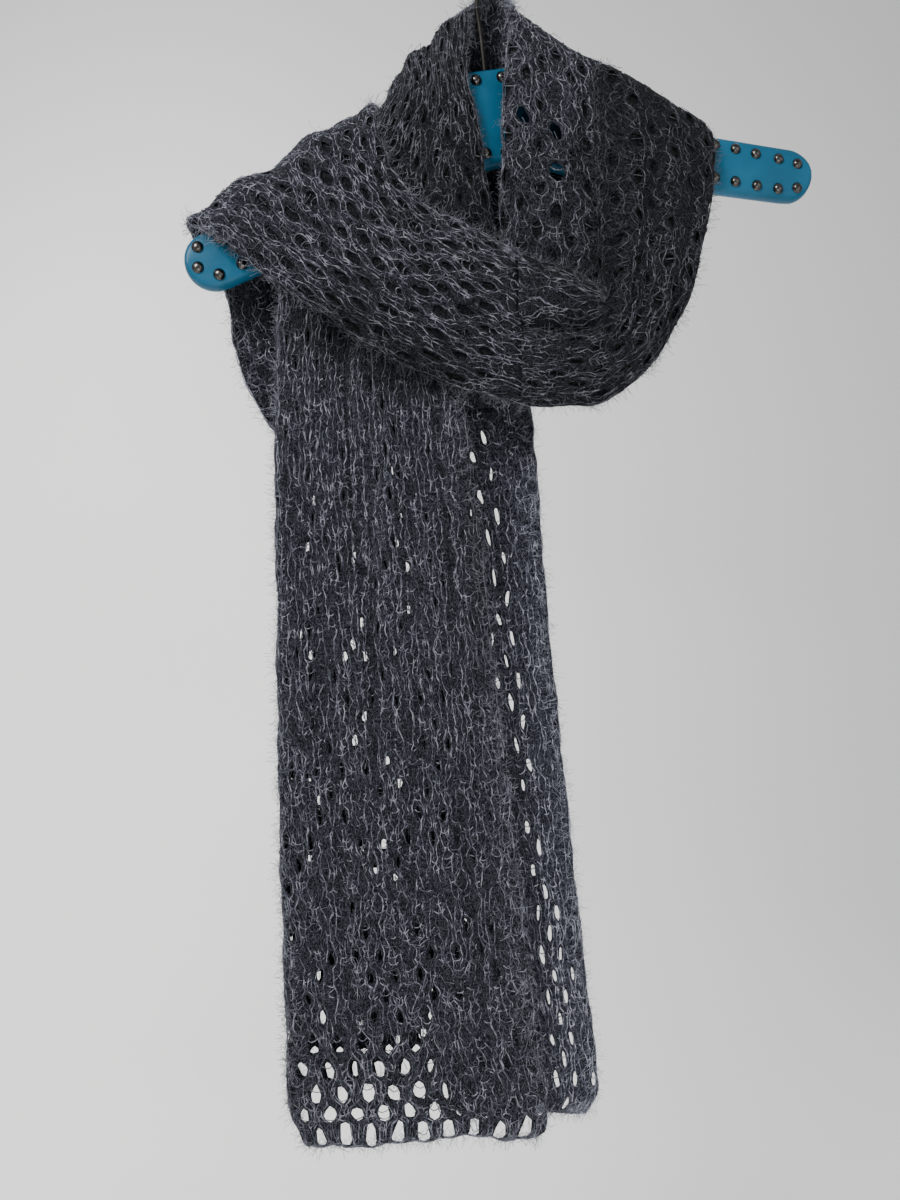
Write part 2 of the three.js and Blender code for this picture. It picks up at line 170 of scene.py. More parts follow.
RIGHT_COLLAR_ROWS = [
    ((0.029, -0.005, -0.056), (0.089, 0.008, -0.088), 0.001, -0.005),
    ((0.027, -0.014, -0.075), (0.092, 0.002, -0.108), 0.004, -0.002),
    ((0.023, -0.02, -0.106), (0.094, -0.005, -0.142), 0.004, 0.0),
    ((0.02, -0.022, -0.14), (0.095, -0.009, -0.172), 0.005, 0.0),
    ((0.018, -0.023, -0.17), (0.094, -0.014, -0.202), 0.005, 0.0),
    ((0.016, -0.025, -0.201), (0.092, -0.02, -0.231), 0.005, 0.0),
    ((0.014, -0.027, -0.229), (0.088, -0.026, -0.254), 0.005, 0.0),
    ((0.012, -0.029, -0.262), (0.078, -0.032, -0.282), 0.005, 0.0),
    ((0.012, -0.041, -0.284), (0.079, -0.041, -0.297), 0.003, 0.0),
    ((0.014, -0.050, -0.287), (0.077, -0.050, -0.297), 0.001, 0.0),
]

LOOP_ROWS = [
    ((0.0926, 0.008, -0.091), (0.167, 0.028, -0.132), 0.001, -0.001),
    ((0.088, -0.006, -0.097), (0.168, 0.016, -0.138), 0.003, 0.0),
    ((0.084, -0.014, -0.118), (0.167, 0.009, -0.152), 0.006, 0.0),
    ((0.083, -0.02, -0.146), (0.165, 0.004, -0.172), 0.008, 0.0),
    ((0.083, -0.028, -0.184), (0.157, -0.004, -0.203), 0.009, 0.0),
    ((0.082, -0.036, -0.221), (0.148, -0.015, -0.232), 0.01, 0.0),
    ((0.082, -0.044, -0.25), (0.137, -0.026, -0.263), 0.009, 0.0),
    ((0.081, -0.05, -0.272), (0.12, -0.036, -0.293), 0.008, 0.0),
    ((0.077, -0.054, -0.286), (0.098, -0.043, -0.319), 0.007, 0.0),
    ((0.068, -0.056, -0.292), (0.072, -0.049, -0.335), 0.007, 0.0),
    ((0.048, -0.057, -0.294), (0.045, -0.051, -0.337), 0.007, 0.0),
    ((0.0203, -0.058, -0.291), (0.0203, -0.052, -0.335), 0.007, 0.0),
]

TONGUE_ROWS = [
    ((0.075, -0.056, -0.271), (0.075, -0.056, -0.281), 0.003, 0.0),
    ((0.068, -0.057, -0.262), (0.068, -0.057, -0.288), 0.006, 0.0),
    ((0.05, -0.058, -0.254), (0.05, -0.057, -0.29), 0.008, 0.0),
    ((0.0205, -0.058, -0.243), (0.0205, -0.058, -0.288), 0.008, 0.0),
]

BAND_ROWS = [
    ((0.02, -0.058, -0.242), (0.02, -0.052, -0.335), 0.007, 0.0),
    ((-0.013, -0.058, -0.223), (-0.03, -0.053, -0.318), 0.008, 0.0),
    ((-0.04, -0.057, -0.207), (-0.075, -0.055, -0.295), 0.008, 0.0),
    ((-0.057, -0.054, -0.186), (-0.112, -0.056, -0.268), 0.008, 0.0),
    ((-0.066, -0.048, -0.16), (-0.143, -0.056, -0.244), 0.007, 0.0),
    ((-0.069, -0.038, -0.139), (-0.170, -0.057, -0.221), 0.006, 0.0),
    ((-0.07, -0.018, -0.124), (-0.192, -0.042, -0.205), 0.003, -0.003),
    ((-0.066, 0.0, -0.125), (-0.193, -0.024, -0.212), 0.003, 0.0),
    ((-0.05, 0.006, -0.15), (-0.184, -0.018, -0.228), 0.004, 0.0),
    ((-0.028, 0.008, -0.182), (-0.172, -0.011, -0.251), 0.005, 0.0),
    ((-0.005, 0.01, -0.224), (-0.17, -0.007, -0.281), 0.005, 0.0),
    ((0.014, 0.011, -0.273), (-0.163, -0.004, -0.308), 0.005, 0.0),
    ((0.028, 0.01, -0.324), (-0.146, 0.0, -0.34), 0.005, 0.0),
    ((0.031, 0.008, -0.372), (-0.113, -0.003, -0.388), 0.005, 0.0),
    ((0.033, 0.006, -0.424), (-0.092, -0.006, -0.436), 0.005, 0.0),
    ((0.035, 0.004, -0.478), (-0.08, -0.008, -0.486), 0.004, 0.0),
    ((0.039, 0.001, -0.54), (-0.068, -0.01, -0.544), 0.004, 0.0),
    ((0.043, -0.003, -0.606), (-0.057, -0.012, -0.608), 0.003, 0.0),
    ((0.048, -0.008, -0.68), (-0.048, -0.012, -0.68), 0.003, 0.0),
    ((0.053, -0.011, -0.75), (-0.042, -0.012, -0.75), 0.002, 0.0),
    ((0.056, -0.012, -0.799), (-0.038, -0.012, -0.802), 0.001, 0.0),
    ((0.047, -0.012, -0.814), (-0.032, -0.012, -0.815), 0.001, 0.0),
]

# The front end hangs folded lengthwise: fold edge, free edge, height, width turned back
FRONT_ROWS = [
    (-0.136, -0.016, -0.2506, 0.1),
    (-0.139, -0.018, -0.31, 0.104),
    (-0.143, -0.014, -0.375, 0.108),
    (-0.144, -0.008, -0.44, 0.11),
    (-0.147, -0.001, -0.54, 0.11),
    (-0.149, 0.008, -0.66, 0.11),
    (-0.149, 0.014, -0.737, 0.11),
    (-0.149, 0.020, -0.803, 0.11),
    (-0.142, 0.014, -0.815, 0.106),
]

# Places on the front end where eyelets of all its layers line up and the wall shows: x and z
SPOTS = [
    (-0.065, -0.374), (-0.061, -0.406), (-0.064, -0.421), (-0.058, -0.439), (-0.058, -0.467),
    (-0.068, -0.493), (-0.117, -0.393), (-0.122, -0.423), (-0.092, -0.428), (-0.089, -0.474),
    (-0.128, -0.482), (-0.122, -0.494), (-0.101, -0.499), (-0.088, -0.499), (-0.095, -0.486),
    (-0.089, -0.536), (-0.096, -0.551), (-0.127, -0.577), (-0.068, -0.579), (-0.121, -0.591),
    (-0.094, -0.623), (-0.080, -0.621), (-0.129, -0.625), (-0.075, -0.564), (-0.073, -0.640),
    (-0.086, -0.635), (-0.125, -0.704), (-0.124, -0.732), (-0.099, -0.738), (-0.076, -0.749),
    (-0.060, -0.745), (-0.053, -0.733),
]
SPOT_CENTRE = (-0.030, -0.461)  # the layers further back have theirs further away from here
SPOT_SPREAD = 1.46  # for each metre of depth
SPOT_WIDE = 0.0021
SPOT_TALL = 0.0052
SPOT_OPENING = (0.62, 0.72)  # in shares of half a pitch and of a row
SPOT_REACH = 0.7  # rows, from a spot to the eyelet that opens for it
SPOT_SHIFT = (0.2, 0.3)  # pitches and rows that this eyelet may move

# Painted shade in the deep places between the folds on the front and under the band: x, z, reach each
# way and how much darker
PAINTED_SHADE_PLACES = [
    (0.077, -0.246, 0.009, 0.036, 0.65),
    (0.050, -0.252, 0.026, 0.008, 0.55),
    (0.052, -0.288, 0.030, 0.006, 0.55),
    (0.072, -0.176, 0.012, 0.020, 0.35),
    (-0.050, -0.216, 0.018, 0.006, 0.50),
    (0.006, -0.205, 0.008, 0.030, 0.50),
    (-0.098, -0.284, 0.032, 0.018, 0.72),
    (-0.050, -0.313, 0.032, 0.016, 0.68),
    (-0.012, -0.420, 0.007, 0.110, 0.35),
]
PAINTED_SHADE_FRONT = -0.008  # only cloth in front of this depth is darker there

# Long soft folds of the front end: x, width, depth, top, bottom and sideways drift
FRONT_FOLDS = [
    (-0.092, 0.009, 0.0040, -0.262, -0.520, 0.010),
    (-0.048, 0.012, 0.0030, -0.258, -0.700, -0.012),
    (-0.118, 0.010, 0.0025, -0.430, -0.640, 0.006),
    (-0.022, 0.008, 0.0030, -0.420, -0.790, 0.016),
    (-0.070, 0.006, -0.0020, -0.270, -0.600, 0.006),
    (-0.104, 0.005, -0.0014, -0.300, -0.700, -0.004),
    (-0.132, 0.007, -0.0016, -0.280, -0.760, 0.000),
    (-0.058, 0.009, 0.0016, -0.560, -0.800, 0.010),
    (-0.006, 0.007, -0.0018, -0.500, -0.810, 0.012),
    (-0.094, 0.0034, 0.0062, -0.255, -0.470, 0.006),
    (-0.080, 0.0032, 0.0048, -0.262, -0.640, -0.004),
    (-0.036, 0.0040, 0.0050, -0.262, -0.560, 0.010),
    (-0.110, 0.0034, 0.0038, -0.500, -0.760, 0.004),
    (-0.030, 0.0044, 0.0046, -0.540, -0.800, 0.014),
]

# Long folds of a winding: place across, width across, height, first row, last row and drift
COLLAR_FOLDS = [
    (0.22, 0.07, 0.0022, 0.0, 13.0, 0.06),
    (0.45, 0.06, -0.0024, 0.5, 12.0, -0.05),
    (0.66, 0.08, 0.0024, 0.0, 13.5, 0.05),
    (0.86, 0.05, -0.0016, 1.0, 12.5, -0.03),
]
RIGHT_COLLAR_FOLDS = [
    (0.30, 0.08, -0.0024, 0.6, 7.0, 0.08),
    (0.52, 0.07, 0.0026, 1.0, 7.0, 0.06),
    (0.76, 0.08, -0.0022, 1.2, 7.0, -0.05),
    (0.94, 0.09, -0.0065, 1.2, 8.0, -0.03),
    (0.62, 0.04, -0.0030, 0.4, 6.5, 0.10),
]
LOOP_FOLDS = [
    (0.20, 0.07, 0.0028, 1.0, 10.8, 0.10),
    (0.42, 0.06, -0.0030, 1.4, 10.9, 0.02),
    (0.62, 0.07, 0.0030, 1.2, 10.9, -0.04),
    (0.82, 0.05, -0.0024, 1.6, 10.8, -0.02),
    (0.07, 0.08, -0.0065, 1.4, 8.4, 0.04),
    (0.30, 0.035, -0.0030, 2.0, 9.5, 0.06),
]
TONGUE_FOLDS = [
    (0.30, 0.16, 0.0018, 0.0, 3.6, 0.05),
    (0.66, 0.14, -0.0020, 0.0, 3.6, 0.05),
]
BAND_FOLDS = [
    (0.14, 0.05, -0.0024, 0.2, 10.0, 0.05),
    (0.33, 0.07, 0.0032, 0.1, 12.0, -0.04),
    (0.55, 0.06, -0.0028, 0.2, 12.5, 0.04),
    (0.74, 0.07, 0.0030, 0.1, 13.0, -0.03),
    (0.90, 0.04, -0.0018, 0.4, 11.0, 0.02),
    (0.30, 0.08, -0.0020, 11.0, 19.8, 0.10),
    (0.62, 0.09, 0.0024, 12.0, 19.8, -0.06),
    (0.84, 0.06, -0.0020, 12.5, 19.5, 0.04),
]


def curve_through(before, start, end, after, share):
    slope_in = (end - before) / 2
    slope_out = (after - start) / 2
    bend = 2 * (start - end) + slope_in + slope_out
    turn = 3 * (end - start) - 2 * slope_in - slope_out
    return start + slope_in * share + turn * share**2 + bend * share**3


def read_rows(rows, t):
    index = np.clip(np.floor(t).astype(int), 0, len(rows) - 2)
    near = [rows[np.clip(index + step, 0, len(rows) - 1)] for step in (-1, 0, 1, 2)]
    return curve_through(*near, (t - index)[:, None])


def flat_rows(rows):
    return np.array([[*inner, *outer, belly, lift] for inner, outer, belly, lift in rows])


def unit(vectors):
    length = np.linalg.norm(vectors, axis=1, keepdims=True)
    return vectors / np.maximum(length, 1e-12)


def fold_height(folds, u, t):
    height = np.zeros_like(u)
    for place, width, rise, first, last, drift in folds:
        along = np.clip((t - first) / (last - first), 0, 1)
        across = (u - place - drift * np.sin(2.2 * along * math.pi)) / width
        height += rise * np.sin(math.pi * along) ** ROUNDED * np.exp(-across * across)
    return height


# Soft lumps of the cloth, the same wherever two stretches meet
def uneven(points):
    x, y, z = points.T
    lumps = np.sin(173 * x + 90 * z + 1.0) * np.sin(131 * z - 60 * y + 0.4)
    sway = np.sin(88 * z + 70 * x + 2.0) + 0.5 * np.sin(231 * z - 40 * x)
    drop = np.sin(149 * x + 60 * y) * np.sin(83 * z + 120 * y + 1.3)
    return points + np.array(LUMPS) * np.stack([sway, lumps, drop], axis=1)


# A point of a winding: u runs from the inner to the outer rail, t along the rows, and beyond
# the rails the edges roll under
def winding_points(rows, folds, u, t):
    last = len(rows) - 1
    row = read_rows(rows, t)
    inner, outer, belly, lift = row[:, 0:3], row[:, 3:6], row[:, 6], row[:, 7]
    ahead = read_rows(rows, np.minimum(t + REACH, last))
    behind = read_rows(rows, np.maximum(t - REACH, 0))
    travel = (ahead[:, 0:3] + ahead[:, 3:6] - behind[:, 0:3] - behind[:, 3:6]) / 2
    outward = unit(np.cross(travel, outer - inner))
    inside = np.clip(u, 0, 1)
    side = 2 * inside - 1
    points = inner + (outer - inner) * inside[:, None]
    rise = belly * (1 - side**4) + fold_height(folds, inside, t)
    width = np.linalg.norm(outer - inner, axis=1)
    turned = ROLL_START + np.abs(u - inside) * width / ROLL_RADIUS
    beyond = ROLL_RADIUS * (np.sin(turned) - math.sin(ROLL_START)) * np.sign(u - inside)
    rise = rise - ROLL_RADIUS * (math.cos(ROLL_START) - np.cos(turned))
    points = points + outward * rise[:, None]
    points = points + (outer - inner) * (beyond / width)[:, None]
    points[:, 2] += lift * (1 - side**2)
    return uneven(points)


def smooth(share):
    return share * share * (3 - 2 * share)


def front_crease(x, z):
    depth = np.zeros_like(x)
    for place, width, sink, top, bottom, drift in FRONT_FOLDS:
        down = np.clip((z - top) / (bottom - top), 0, 1)
        across = (x - place - drift * smooth(down)) / width
        depth += sink * np.sin(math.pi * down) * np.exp(-across * across)
    return depth


# A point of the front end: distance runs from the free edge round the fold
def front_points(u, t):
    rows = np.array(FRONT_ROWS)
    row = read_rows(rows, t)
    fold, free, height, under = row[:, 0], row[:, 1], row[:, 2], row[:, 3]
    flat = free - fold - FOLD_RADIUS
    turn = math.pi * FOLD_RADIUS
    distance = u * (flat + turn + under)
    share = np.clip((distance - flat) / turn, 0, 1)
    angle = share * math.pi
    late = np.clip(2 * (rows[0, 2] - height) / (rows[0, 2] - rows[-1, 2]) - 1, 0, 1)
    z = height + HEM_STEP * late * smooth(share)
    straight_back = np.maximum(distance - flat - turn, 0)
    x = np.where(share > 0, fold + FOLD_RADIUS - FOLD_RADIUS * np.sin(angle), free - distance)
    x = x + straight_back
    y = FRONT_Y + FOLD_RADIUS * (1 - np.cos(angle))
    crease = front_crease(x, z)
    reach, beside = 0.02, 0.4
    near_fold = np.clip(np.abs(distance - flat - turn / 2) / reach - beside, 0, 1)
    y = y + crease * near_fold * np.where(share > 0.5, -0.5, 1.0)
    ripple, wave, corner, corner_x, corner_wide = 0.0006, 0.0022, 0.0040, -0.004, 0.012
    scallop = ripple * np.sin(2 * math.pi * (x / PITCH + 0.25)) + wave * np.sin(38 * x + 2.42)
    scallop = scallop - corner * np.exp(-(((x - corner_x) / corner_wide) ** 2))
    z = z + scallop * np.clip(t - (len(rows) - 2), 0, 1)
    return uneven(np.stack([x, y, z], axis=1))


# A stretch of cloth as a surface of p, in eyelet pitches across, and q, in lace rows along
class Stretch:
    def __init__(self, name, surface, flat, cells, openness, seed, sunk=0.0, shade=(1.0, 1.0)):
        self.name = name
        self.surface = surface
        self.cells = cells
        self.flat = flat
        self.steps = max(2, 2 * round(flat[1] / ROW / 2))
        self.openness = openness
        self.seed = seed
        self.sunk = sunk
        self.shade = shade

    def points(self, p, q):
        return self.surface(p / self.cells, q / self.steps)

    # Painted light and shade at points of the stretch: its factor runs from its start to its end, darkened
    # by painted shade in the deep places between the folds
    def painted_light_at(self, points, q):
        first, last = self.shade
        shade = first + (last - first) * q / self.steps
        for x, z, wide, tall, darker in PAINTED_SHADE_PLACES:
            away = ((points[:, 0] - x) / wide) ** 2 + ((points[:, 2] - z) / tall) ** 2
            shade = shade * (1 - darker * np.exp(-away) * (points[:, 1] < PAINTED_SHADE_FRONT))
        return shade

    def normals(self, p, q):
        step = 0.04
        across = self.points(p + step, q) - self.points(p - step, q)
        along = self.points(p, q + step) - self.points(p, q - step)
        return unit(np.cross(across, along))


# Rows of equal length along a winding, between two row numbers of its table
def winding(rows, folds, start, end, roll):
    table = flat_rows(rows)
    steps = np.linspace(start, end, LENGTH_STEPS)
    row = read_rows(table, steps)
    middle = (row[:, 0:3] + row[:, 3:6]) / 2
    travelled = np.concatenate([[0], np.cumsum(np.linalg.norm(np.diff(middle, axis=0), axis=1))])
    share_of = travelled / travelled[-1]
    width = np.linalg.norm(row[:, 3:6] - row[:, 0:3], axis=1).mean()

    def surface(u, along):
        inside = np.interp(along, share_of, steps)
        slope = steps[-1] - steps[0]
        beyond = np.where(along < 0, along, np.where(along > 1, along - 1, 0)) * slope
        margin = roll / width
        return winding_points(table, folds, u * (1 + 2 * margin) - margin, inside + beyond)

    return surface, (GATHER * (width + 2 * roll), travelled[-1])


def front_surface(u, along):
    rows = np.array(FRONT_ROWS)
    heights = rows[:, 2]
    z = heights[0] + (heights[-1] - heights[0]) * along
    t = np.interp(-z, -heights, np.arange(len(rows)))
    t = t + np.where(along > 1, (along - 1) * (len(rows) - 1), 0)
    t = t + np.where(along < 0, along * (len(rows) - 1), 0)
    return front_points(u, t)


def new_object(name, data):
    piece = bpy.data.objects.new(name, data)
    bpy.context.scene.collection.objects.link(piece)
    return piece


def line_object(name, points, edges):
    mesh = bpy.data.meshes.new(name)
    mesh.from_pydata(points, edges, [])
    return new_object(name, mesh)


# Where the spots lie on a layer at a given depth behind the front one
def spots_at(depth):
    spread = 1 + SPOT_SPREAD * (depth - FRONT_Y)
    centre = np.array(SPOT_CENTRE)
    return centre + (np.array(SPOTS) - centre) * spread


# The places in the lace of a hanging end that open for the spots, and how far off centre
def spot_places(stretch, columns, rows):
    if stretch.name not in HANGING:
        return {}
    k, j = [grid.ravel() for grid in np.mgrid[0:columns, 0:rows]]
    p, q, step = (k + 0.5) / 2, j + 0.5, 0.1
    middle = stretch.points(p, q)
    across = (stretch.points(p + step, q) - middle)[:, 0] / step
    along = (stretch.points(p, q + step) - middle)[:, 2] / step
    turned = k / columns > TURNED_BACK
    most_p, most_q = SPOT_SHIFT
    places = {}
    for layer in (False, True):
        members = np.flatnonzero((turned == layer) & (j > 0))
        depth = np.median(middle[members, 1])
        for x, z in spots_at(depth):
            away = np.hypot(middle[members, 0] - x, middle[members, 2] - z)
            n = members[np.argmin(away)]
            if away.min() < ROW * SPOT_REACH:
                shift_p = np.clip((x - middle[n, 0]) / across[n], -most_p, most_p)
                shift_q = np.clip((z - middle[n, 2]) / along[n], -most_q, most_q)
                places[(int(k[n]), int(j[n]))] = (shift_p, shift_q)
    return places


def add_values(mesh, name, values):
    share = mesh.attributes.new(name, "FLOAT", "POINT")
    share.data.foreach_set("value", values)


# The thin cloth with its oval eyelets, as a closed shell. UV is p and q.
def knit_shell(stretch, material):
    rng = np.random.default_rng(stretch.seed)
    columns = 2 * stretch.cells
    rows = stretch.steps
    wide, long = 2 * columns + 1, 2 * rows + 1
    a, b = np.mgrid[0:wide, 0:long]
    p = [a.ravel() / 4]
    q = [b.ravel() / 2]
    lattice = a * long + b
    count = wide * long
    faces = []
    edges = []
    around = [(0, 0), (1, 0), (2, 0), (2, 1), (2, 2), (1, 2), (0, 2), (0, 1)]
    angles = np.array([math.atan2(n - 1, i - 1) for i, n in around])
    places = spot_places(stretch, columns, rows)
    for k in range(columns):
        for j in range(rows):
            corner = [int(lattice[2 * k + i, 2 * j + n]) for i, n in around]
            across, along = (k + 0.5) / columns, (j + 0.5) / rows
            open_wide, open_long, chance = stretch.openness(across, along)
            is_spot = (k, j) in places
            if not is_spot and ((k + j) % 2 or j == 0 or rng.uniform() > chance):
                middle = int(lattice[2 * k + 1, 2 * j + 1])
                for i in (0, 2, 4, 6):
                    faces.append((corner[i - 1], corner[i], corner[i + 1], middle))
                continue
            shift_p, shift_q = places.get((k, j), (0.0, 0.0))
            if is_spot:
                open_wide, open_long = SPOT_OPENING
            open_wide = open_wide * rng.uniform(*WIDTH_RANGE)
            open_long = open_long * rng.uniform(*HEIGHT_RANGE)
            corners = rng.uniform(*CORNER_RANGE, 8)
            ring_p = (k + 0.5 + np.minimum(open_wide * corners, WIDEST) / 2 * np.cos(angles)) / 2
            ring_q = j + 0.5 + np.minimum(open_long * corners, WIDEST) / 2 * np.sin(angles)
            ring_p = ring_p + rng.uniform(-OFF_CENTRE, OFF_CENTRE) * np.sin(angles) + shift_p
            ring_q = ring_q + rng.uniform(-OFF_CENTRE, OFF_CENTRE) + shift_q
            p.append(np.clip(ring_p, k / 2 + RIM / 2, k / 2 + (1 - RIM) / 2))
            q.append(np.clip(ring_q, j + RIM, j + (1 - RIM)))
            ring = list(range(count, count + 8))
            count += 8
            for i in range(8):
                n = (i + 1) % 8
                faces.append((corner[i], corner[n], ring[n], ring[i]))
                edges.append((ring[i], ring[n]))
    for k in range(wide - 1):
        edges.append((int(lattice[k + 1, 0]), int(lattice[k, 0])))
        edges.append((int(lattice[k, long - 1]), int(lattice[k + 1, long - 1])))
    for j in range(long - 1):
        edges.append((int(lattice[0, j]), int(lattice[0, j + 1])))
        edges.append((int(lattice[wide - 1, j + 1]), int(lattice[wide - 1, j])))
    p, q = np.concatenate(p), np.concatenate(q)
    points = stretch.points(p, q)
    normals = stretch.normals(p, q)
    points = points + normals * stretch.sunk
    offset = normals * CLOTH_THICK / 2
    vertices = np.concatenate([points + offset, points - offset])
    under = [tuple(count + v for v in reversed(face)) for face in faces]
    walls = [(m, n, n + count, m + count) for m, n in edges]
    mesh = bpy.data.meshes.new(stretch.name + "_knit")
    mesh.from_pydata(vertices.tolist(), [], faces + under + walls)
    chart = mesh.uv_layers.new(name="lace")
    corners = np.zeros(len(mesh.loops), dtype=int)
    mesh.loops.foreach_get("vertex_index", corners)
    uv = np.stack([np.tile(p, 2), np.tile(q, 2)], axis=1)[corners]
    chart.data.foreach_set("uv", uv.ravel())
    sides = [1.0, BACK_FIBRES] if stretch.name == "front_end" else [BACK_FIBRES, 1.0]
    add_values(mesh, "fuzz", np.repeat(sides, count))
    # Painted light and shade on each side of the shell; the reverse of a second layer is painted paler
    front = stretch.painted_light_at(points, q)
    behind = np.full(count, BACK_PAINTED_LIGHT) if stretch.sunk else front
    add_values(mesh, "shade", np.concatenate([behind, front]))
    mesh.shade_smooth()
    mesh.materials.append(material)
    return new_object(stretch.name + "_knit", mesh)


# Slow random drift along strands, one line of values for each strand
def drift(rng, strands, samples, spacing):
    knots = rng.normal(0, 1, (strands, samples // spacing + 3))
    place = np.arange(samples) / spacing
    index = place.astype(int)
    share = smooth(place - index)
    return knots[:, index] * (1 - share) + knots[:, index + 1] * share


# Strands of yarn that bow round the eyelets and cross in between, as edges without faces
def yarn_lines(stretch, first_column=0, last_column=None):
    rng = np.random.default_rng(stretch.seed + 50)
    columns = np.arange(first_column, last_column or 2 * stretch.cells)
    is_coarse = first_column or stretch.name in SELDOM_SEEN
    parts = SELDOM_STEPS if is_coarse else YARN_STEPS
    samples = parts * stretch.steps + 1
    q = np.arange(samples) / parts
    row = np.minimum(q.astype(int), stretch.steps - 1)
    x = 2 * (q - row) - 1
    bow = np.maximum(1 - x * x, 0) ** ROUNDED
    lines = []
    for pair, (eye, tight, base) in enumerate(STRANDS):
        for side in (-1, 1):
            k = columns[:, None]
            is_eyelet = (k + row[None, :]) % 2 == 0
            spread = stretch.openness((k + 0.5) / (2 * stretch.cells), q[None, :] / stretch.steps)[0]
            eye_wide = eye * (EYE_LEAST + (1 - EYE_LEAST) * spread / EYE_FULL)
            wide = base + np.where(is_eyelet, eye_wide - base, tight - base) * bow[None, :]
            p = (k + 0.5) / 2 + side * wide + WANDER * drift(rng, len(columns), samples, 4)
            p = p + CRINKLE * rng.uniform(-1, 1, p.shape)
            weave = side * (1 if pair else -1) * np.cos(math.pi * x / 2)[None, :]
            depth = WEAVE * np.where(is_eyelet, EYE_FLAT, 1.0) * weave
            depth = depth + WEAVE * drift(rng, len(columns), samples, 5)
            lines.append((p, np.broadcast_to(q, p.shape), depth))
    strands = [np.concatenate([line[i] for line in lines]) for i in range(3)]
    rungs = yarn_rungs(stretch, columns, rng)
    sides = [0.0] * (first_column == 0) + [float(stretch.cells)] * (last_column is None)
    return [strands, rungs] + yarn_borders(sides, q, rng)


# Short loops across the knitted places between the eyelets
def yarn_rungs(stretch, columns, rng):
    p_lines, q_lines = [], []
    across = np.array([-1.0, -0.35, 0.35, 1.0])
    for k in columns:
        for j in range(stretch.steps):
            is_eyelet = (k + j) % 2 == 0
            for level in EYELET_RUNGS if is_eyelet else CLOTH_RUNGS:
                if is_eyelet and rng.uniform() > CROSSED:
                    continue
                p_lines.append((k + 0.5) / 2 + rng.uniform(*RUNG_REACH) * across)
                tilt = rng.uniform(-RUNG_TILT, RUNG_TILT)
                q_lines.append(j + level + tilt * across + RUNG_BOW * (1 - across**2))
    p, q = np.array(p_lines), np.array(q_lines)
    return [p, q, RUNG_DEPTH * rng.normal(0, 1, p.shape)]


# Cords along the side edges
def yarn_borders(sides, q, rng):
    borders = []
    for side in sides:
        p = side + BORDER_DRIFT * drift(rng, 1, len(q), 3)
        borders.append([p, q[None, :], BORDER_DEPTH * drift(rng, 1, len(q), 4)])
    return borders


# Strands of the layers behind the front one keep clear of the spots
def over_spot(stretch, points, p):
    over = np.zeros(len(points), dtype=bool)
    if stretch.name not in HANGING:
        return over
    behind = p > TURNED_BACK * stretch.cells if stretch.name == "front_end" else p >= 0
    if not behind.any():
        return over
    for x, z in spots_at(np.median(points[behind, 1])):
        wide = (points[:, 0] - x) / SPOT_WIDE
        tall = (points[:, 2] - z) / SPOT_TALL
        over |= wide**2 + tall**2 < 1
    return over & behind


def yarn_mesh(stretch, groups, name):
    vertices, edges, fringes, painted_lights, count = [], [], [], [], 0
    fold_place, fold_drift = FOLD_PLACE
    for p, q, depth in groups:
        p = np.clip(p, 0.0, stretch.cells)
        flat_p, flat_q = p.ravel(), np.broadcast_to(q, p.shape).ravel()
        points = stretch.points(flat_p, flat_q)
        points = points + stretch.normals(flat_p, flat_q) * depth.ravel()[:, None]
        vertices.append(points)
        from_side = np.minimum(flat_p, stretch.cells - flat_p)
        fringe = np.exp(-((from_side / FRINGE_SIDE) ** 2))
        if stretch.name == "front_end":
            fold = stretch.cells * (fold_place + fold_drift * flat_q / stretch.steps)
            fringe = fringe + np.exp(-(((flat_p - fold) / FRINGE_FOLD) ** 2))
        if stretch.name in HANGING:
            fringe = fringe + np.exp(-(((stretch.steps - flat_q) / FRINGE_END) ** 2))
        fringes.append(fringe)
        # Painted light and shade, carried on to the yarn, its halo and its fringe
        painted_lights.append(stretch.painted_light_at(points, flat_q))
        numbers = np.arange(p.size).reshape(p.shape) + count
        pairs = np.stack([numbers[:, :-1].ravel(), numbers[:, 1:].ravel()], axis=1)
        edges.append(pairs[~over_spot(stretch, points, flat_p)[pairs - count].any(axis=1)])
        count += p.size
    lines = line_object(name, np.concatenate(vertices).tolist(), np.concatenate(edges).tolist())
    fringe = np.concatenate(fringes)
    add_values(lines.data, "fringe", fringe)
    add_values(lines.data, "fuzz", FUZZ_INSIDE + FUZZ_EDGE * fringe)
    add_values(lines.data, "shade", np.concatenate(painted_lights))
    return lines


# Bound-off edge across the bottom: three strands that wind round one another
def hem_lines(stretch):
    p = np.linspace(0, stretch.cells, 12 * stretch.cells)[None, :]
    up, reach, deep, twist = 0.03, 0.045, 0.0007, 7
    lines = []
    for turn in range(3):
        phase = 2 * math.pi * turn / 3
        q = stretch.steps - up + reach * np.sin(p * twist + phase)
        lines.append([p, q, deep * np.cos(p * twist + phase)])
    return lines


# Gives sockets their values. A value that is itself a socket is linked.
def fill(tree, node, values):
    for key, value in values.items():
        if isinstance(value, bpy.types.NodeSocket):
            tree.links.new(value, node.inputs[key])
        else:
            node.inputs[key].default_value = value


def add_node(tree, kind, values=None, **settings):
    node = tree.nodes.new(kind)
    for name, setting in settings.items():
        setattr(node, name, setting)
    fill(tree, node, values or {})
    return node


def math_node(tree, operation, *values):
    return add_node(tree, "ShaderNodeMath", dict(enumerate(values)), operation=operation).outputs[0]


def vector_node(tree, operation, values):
    return add_node(tree, "ShaderNodeVectorMath", values, operation=operation).outputs[0]


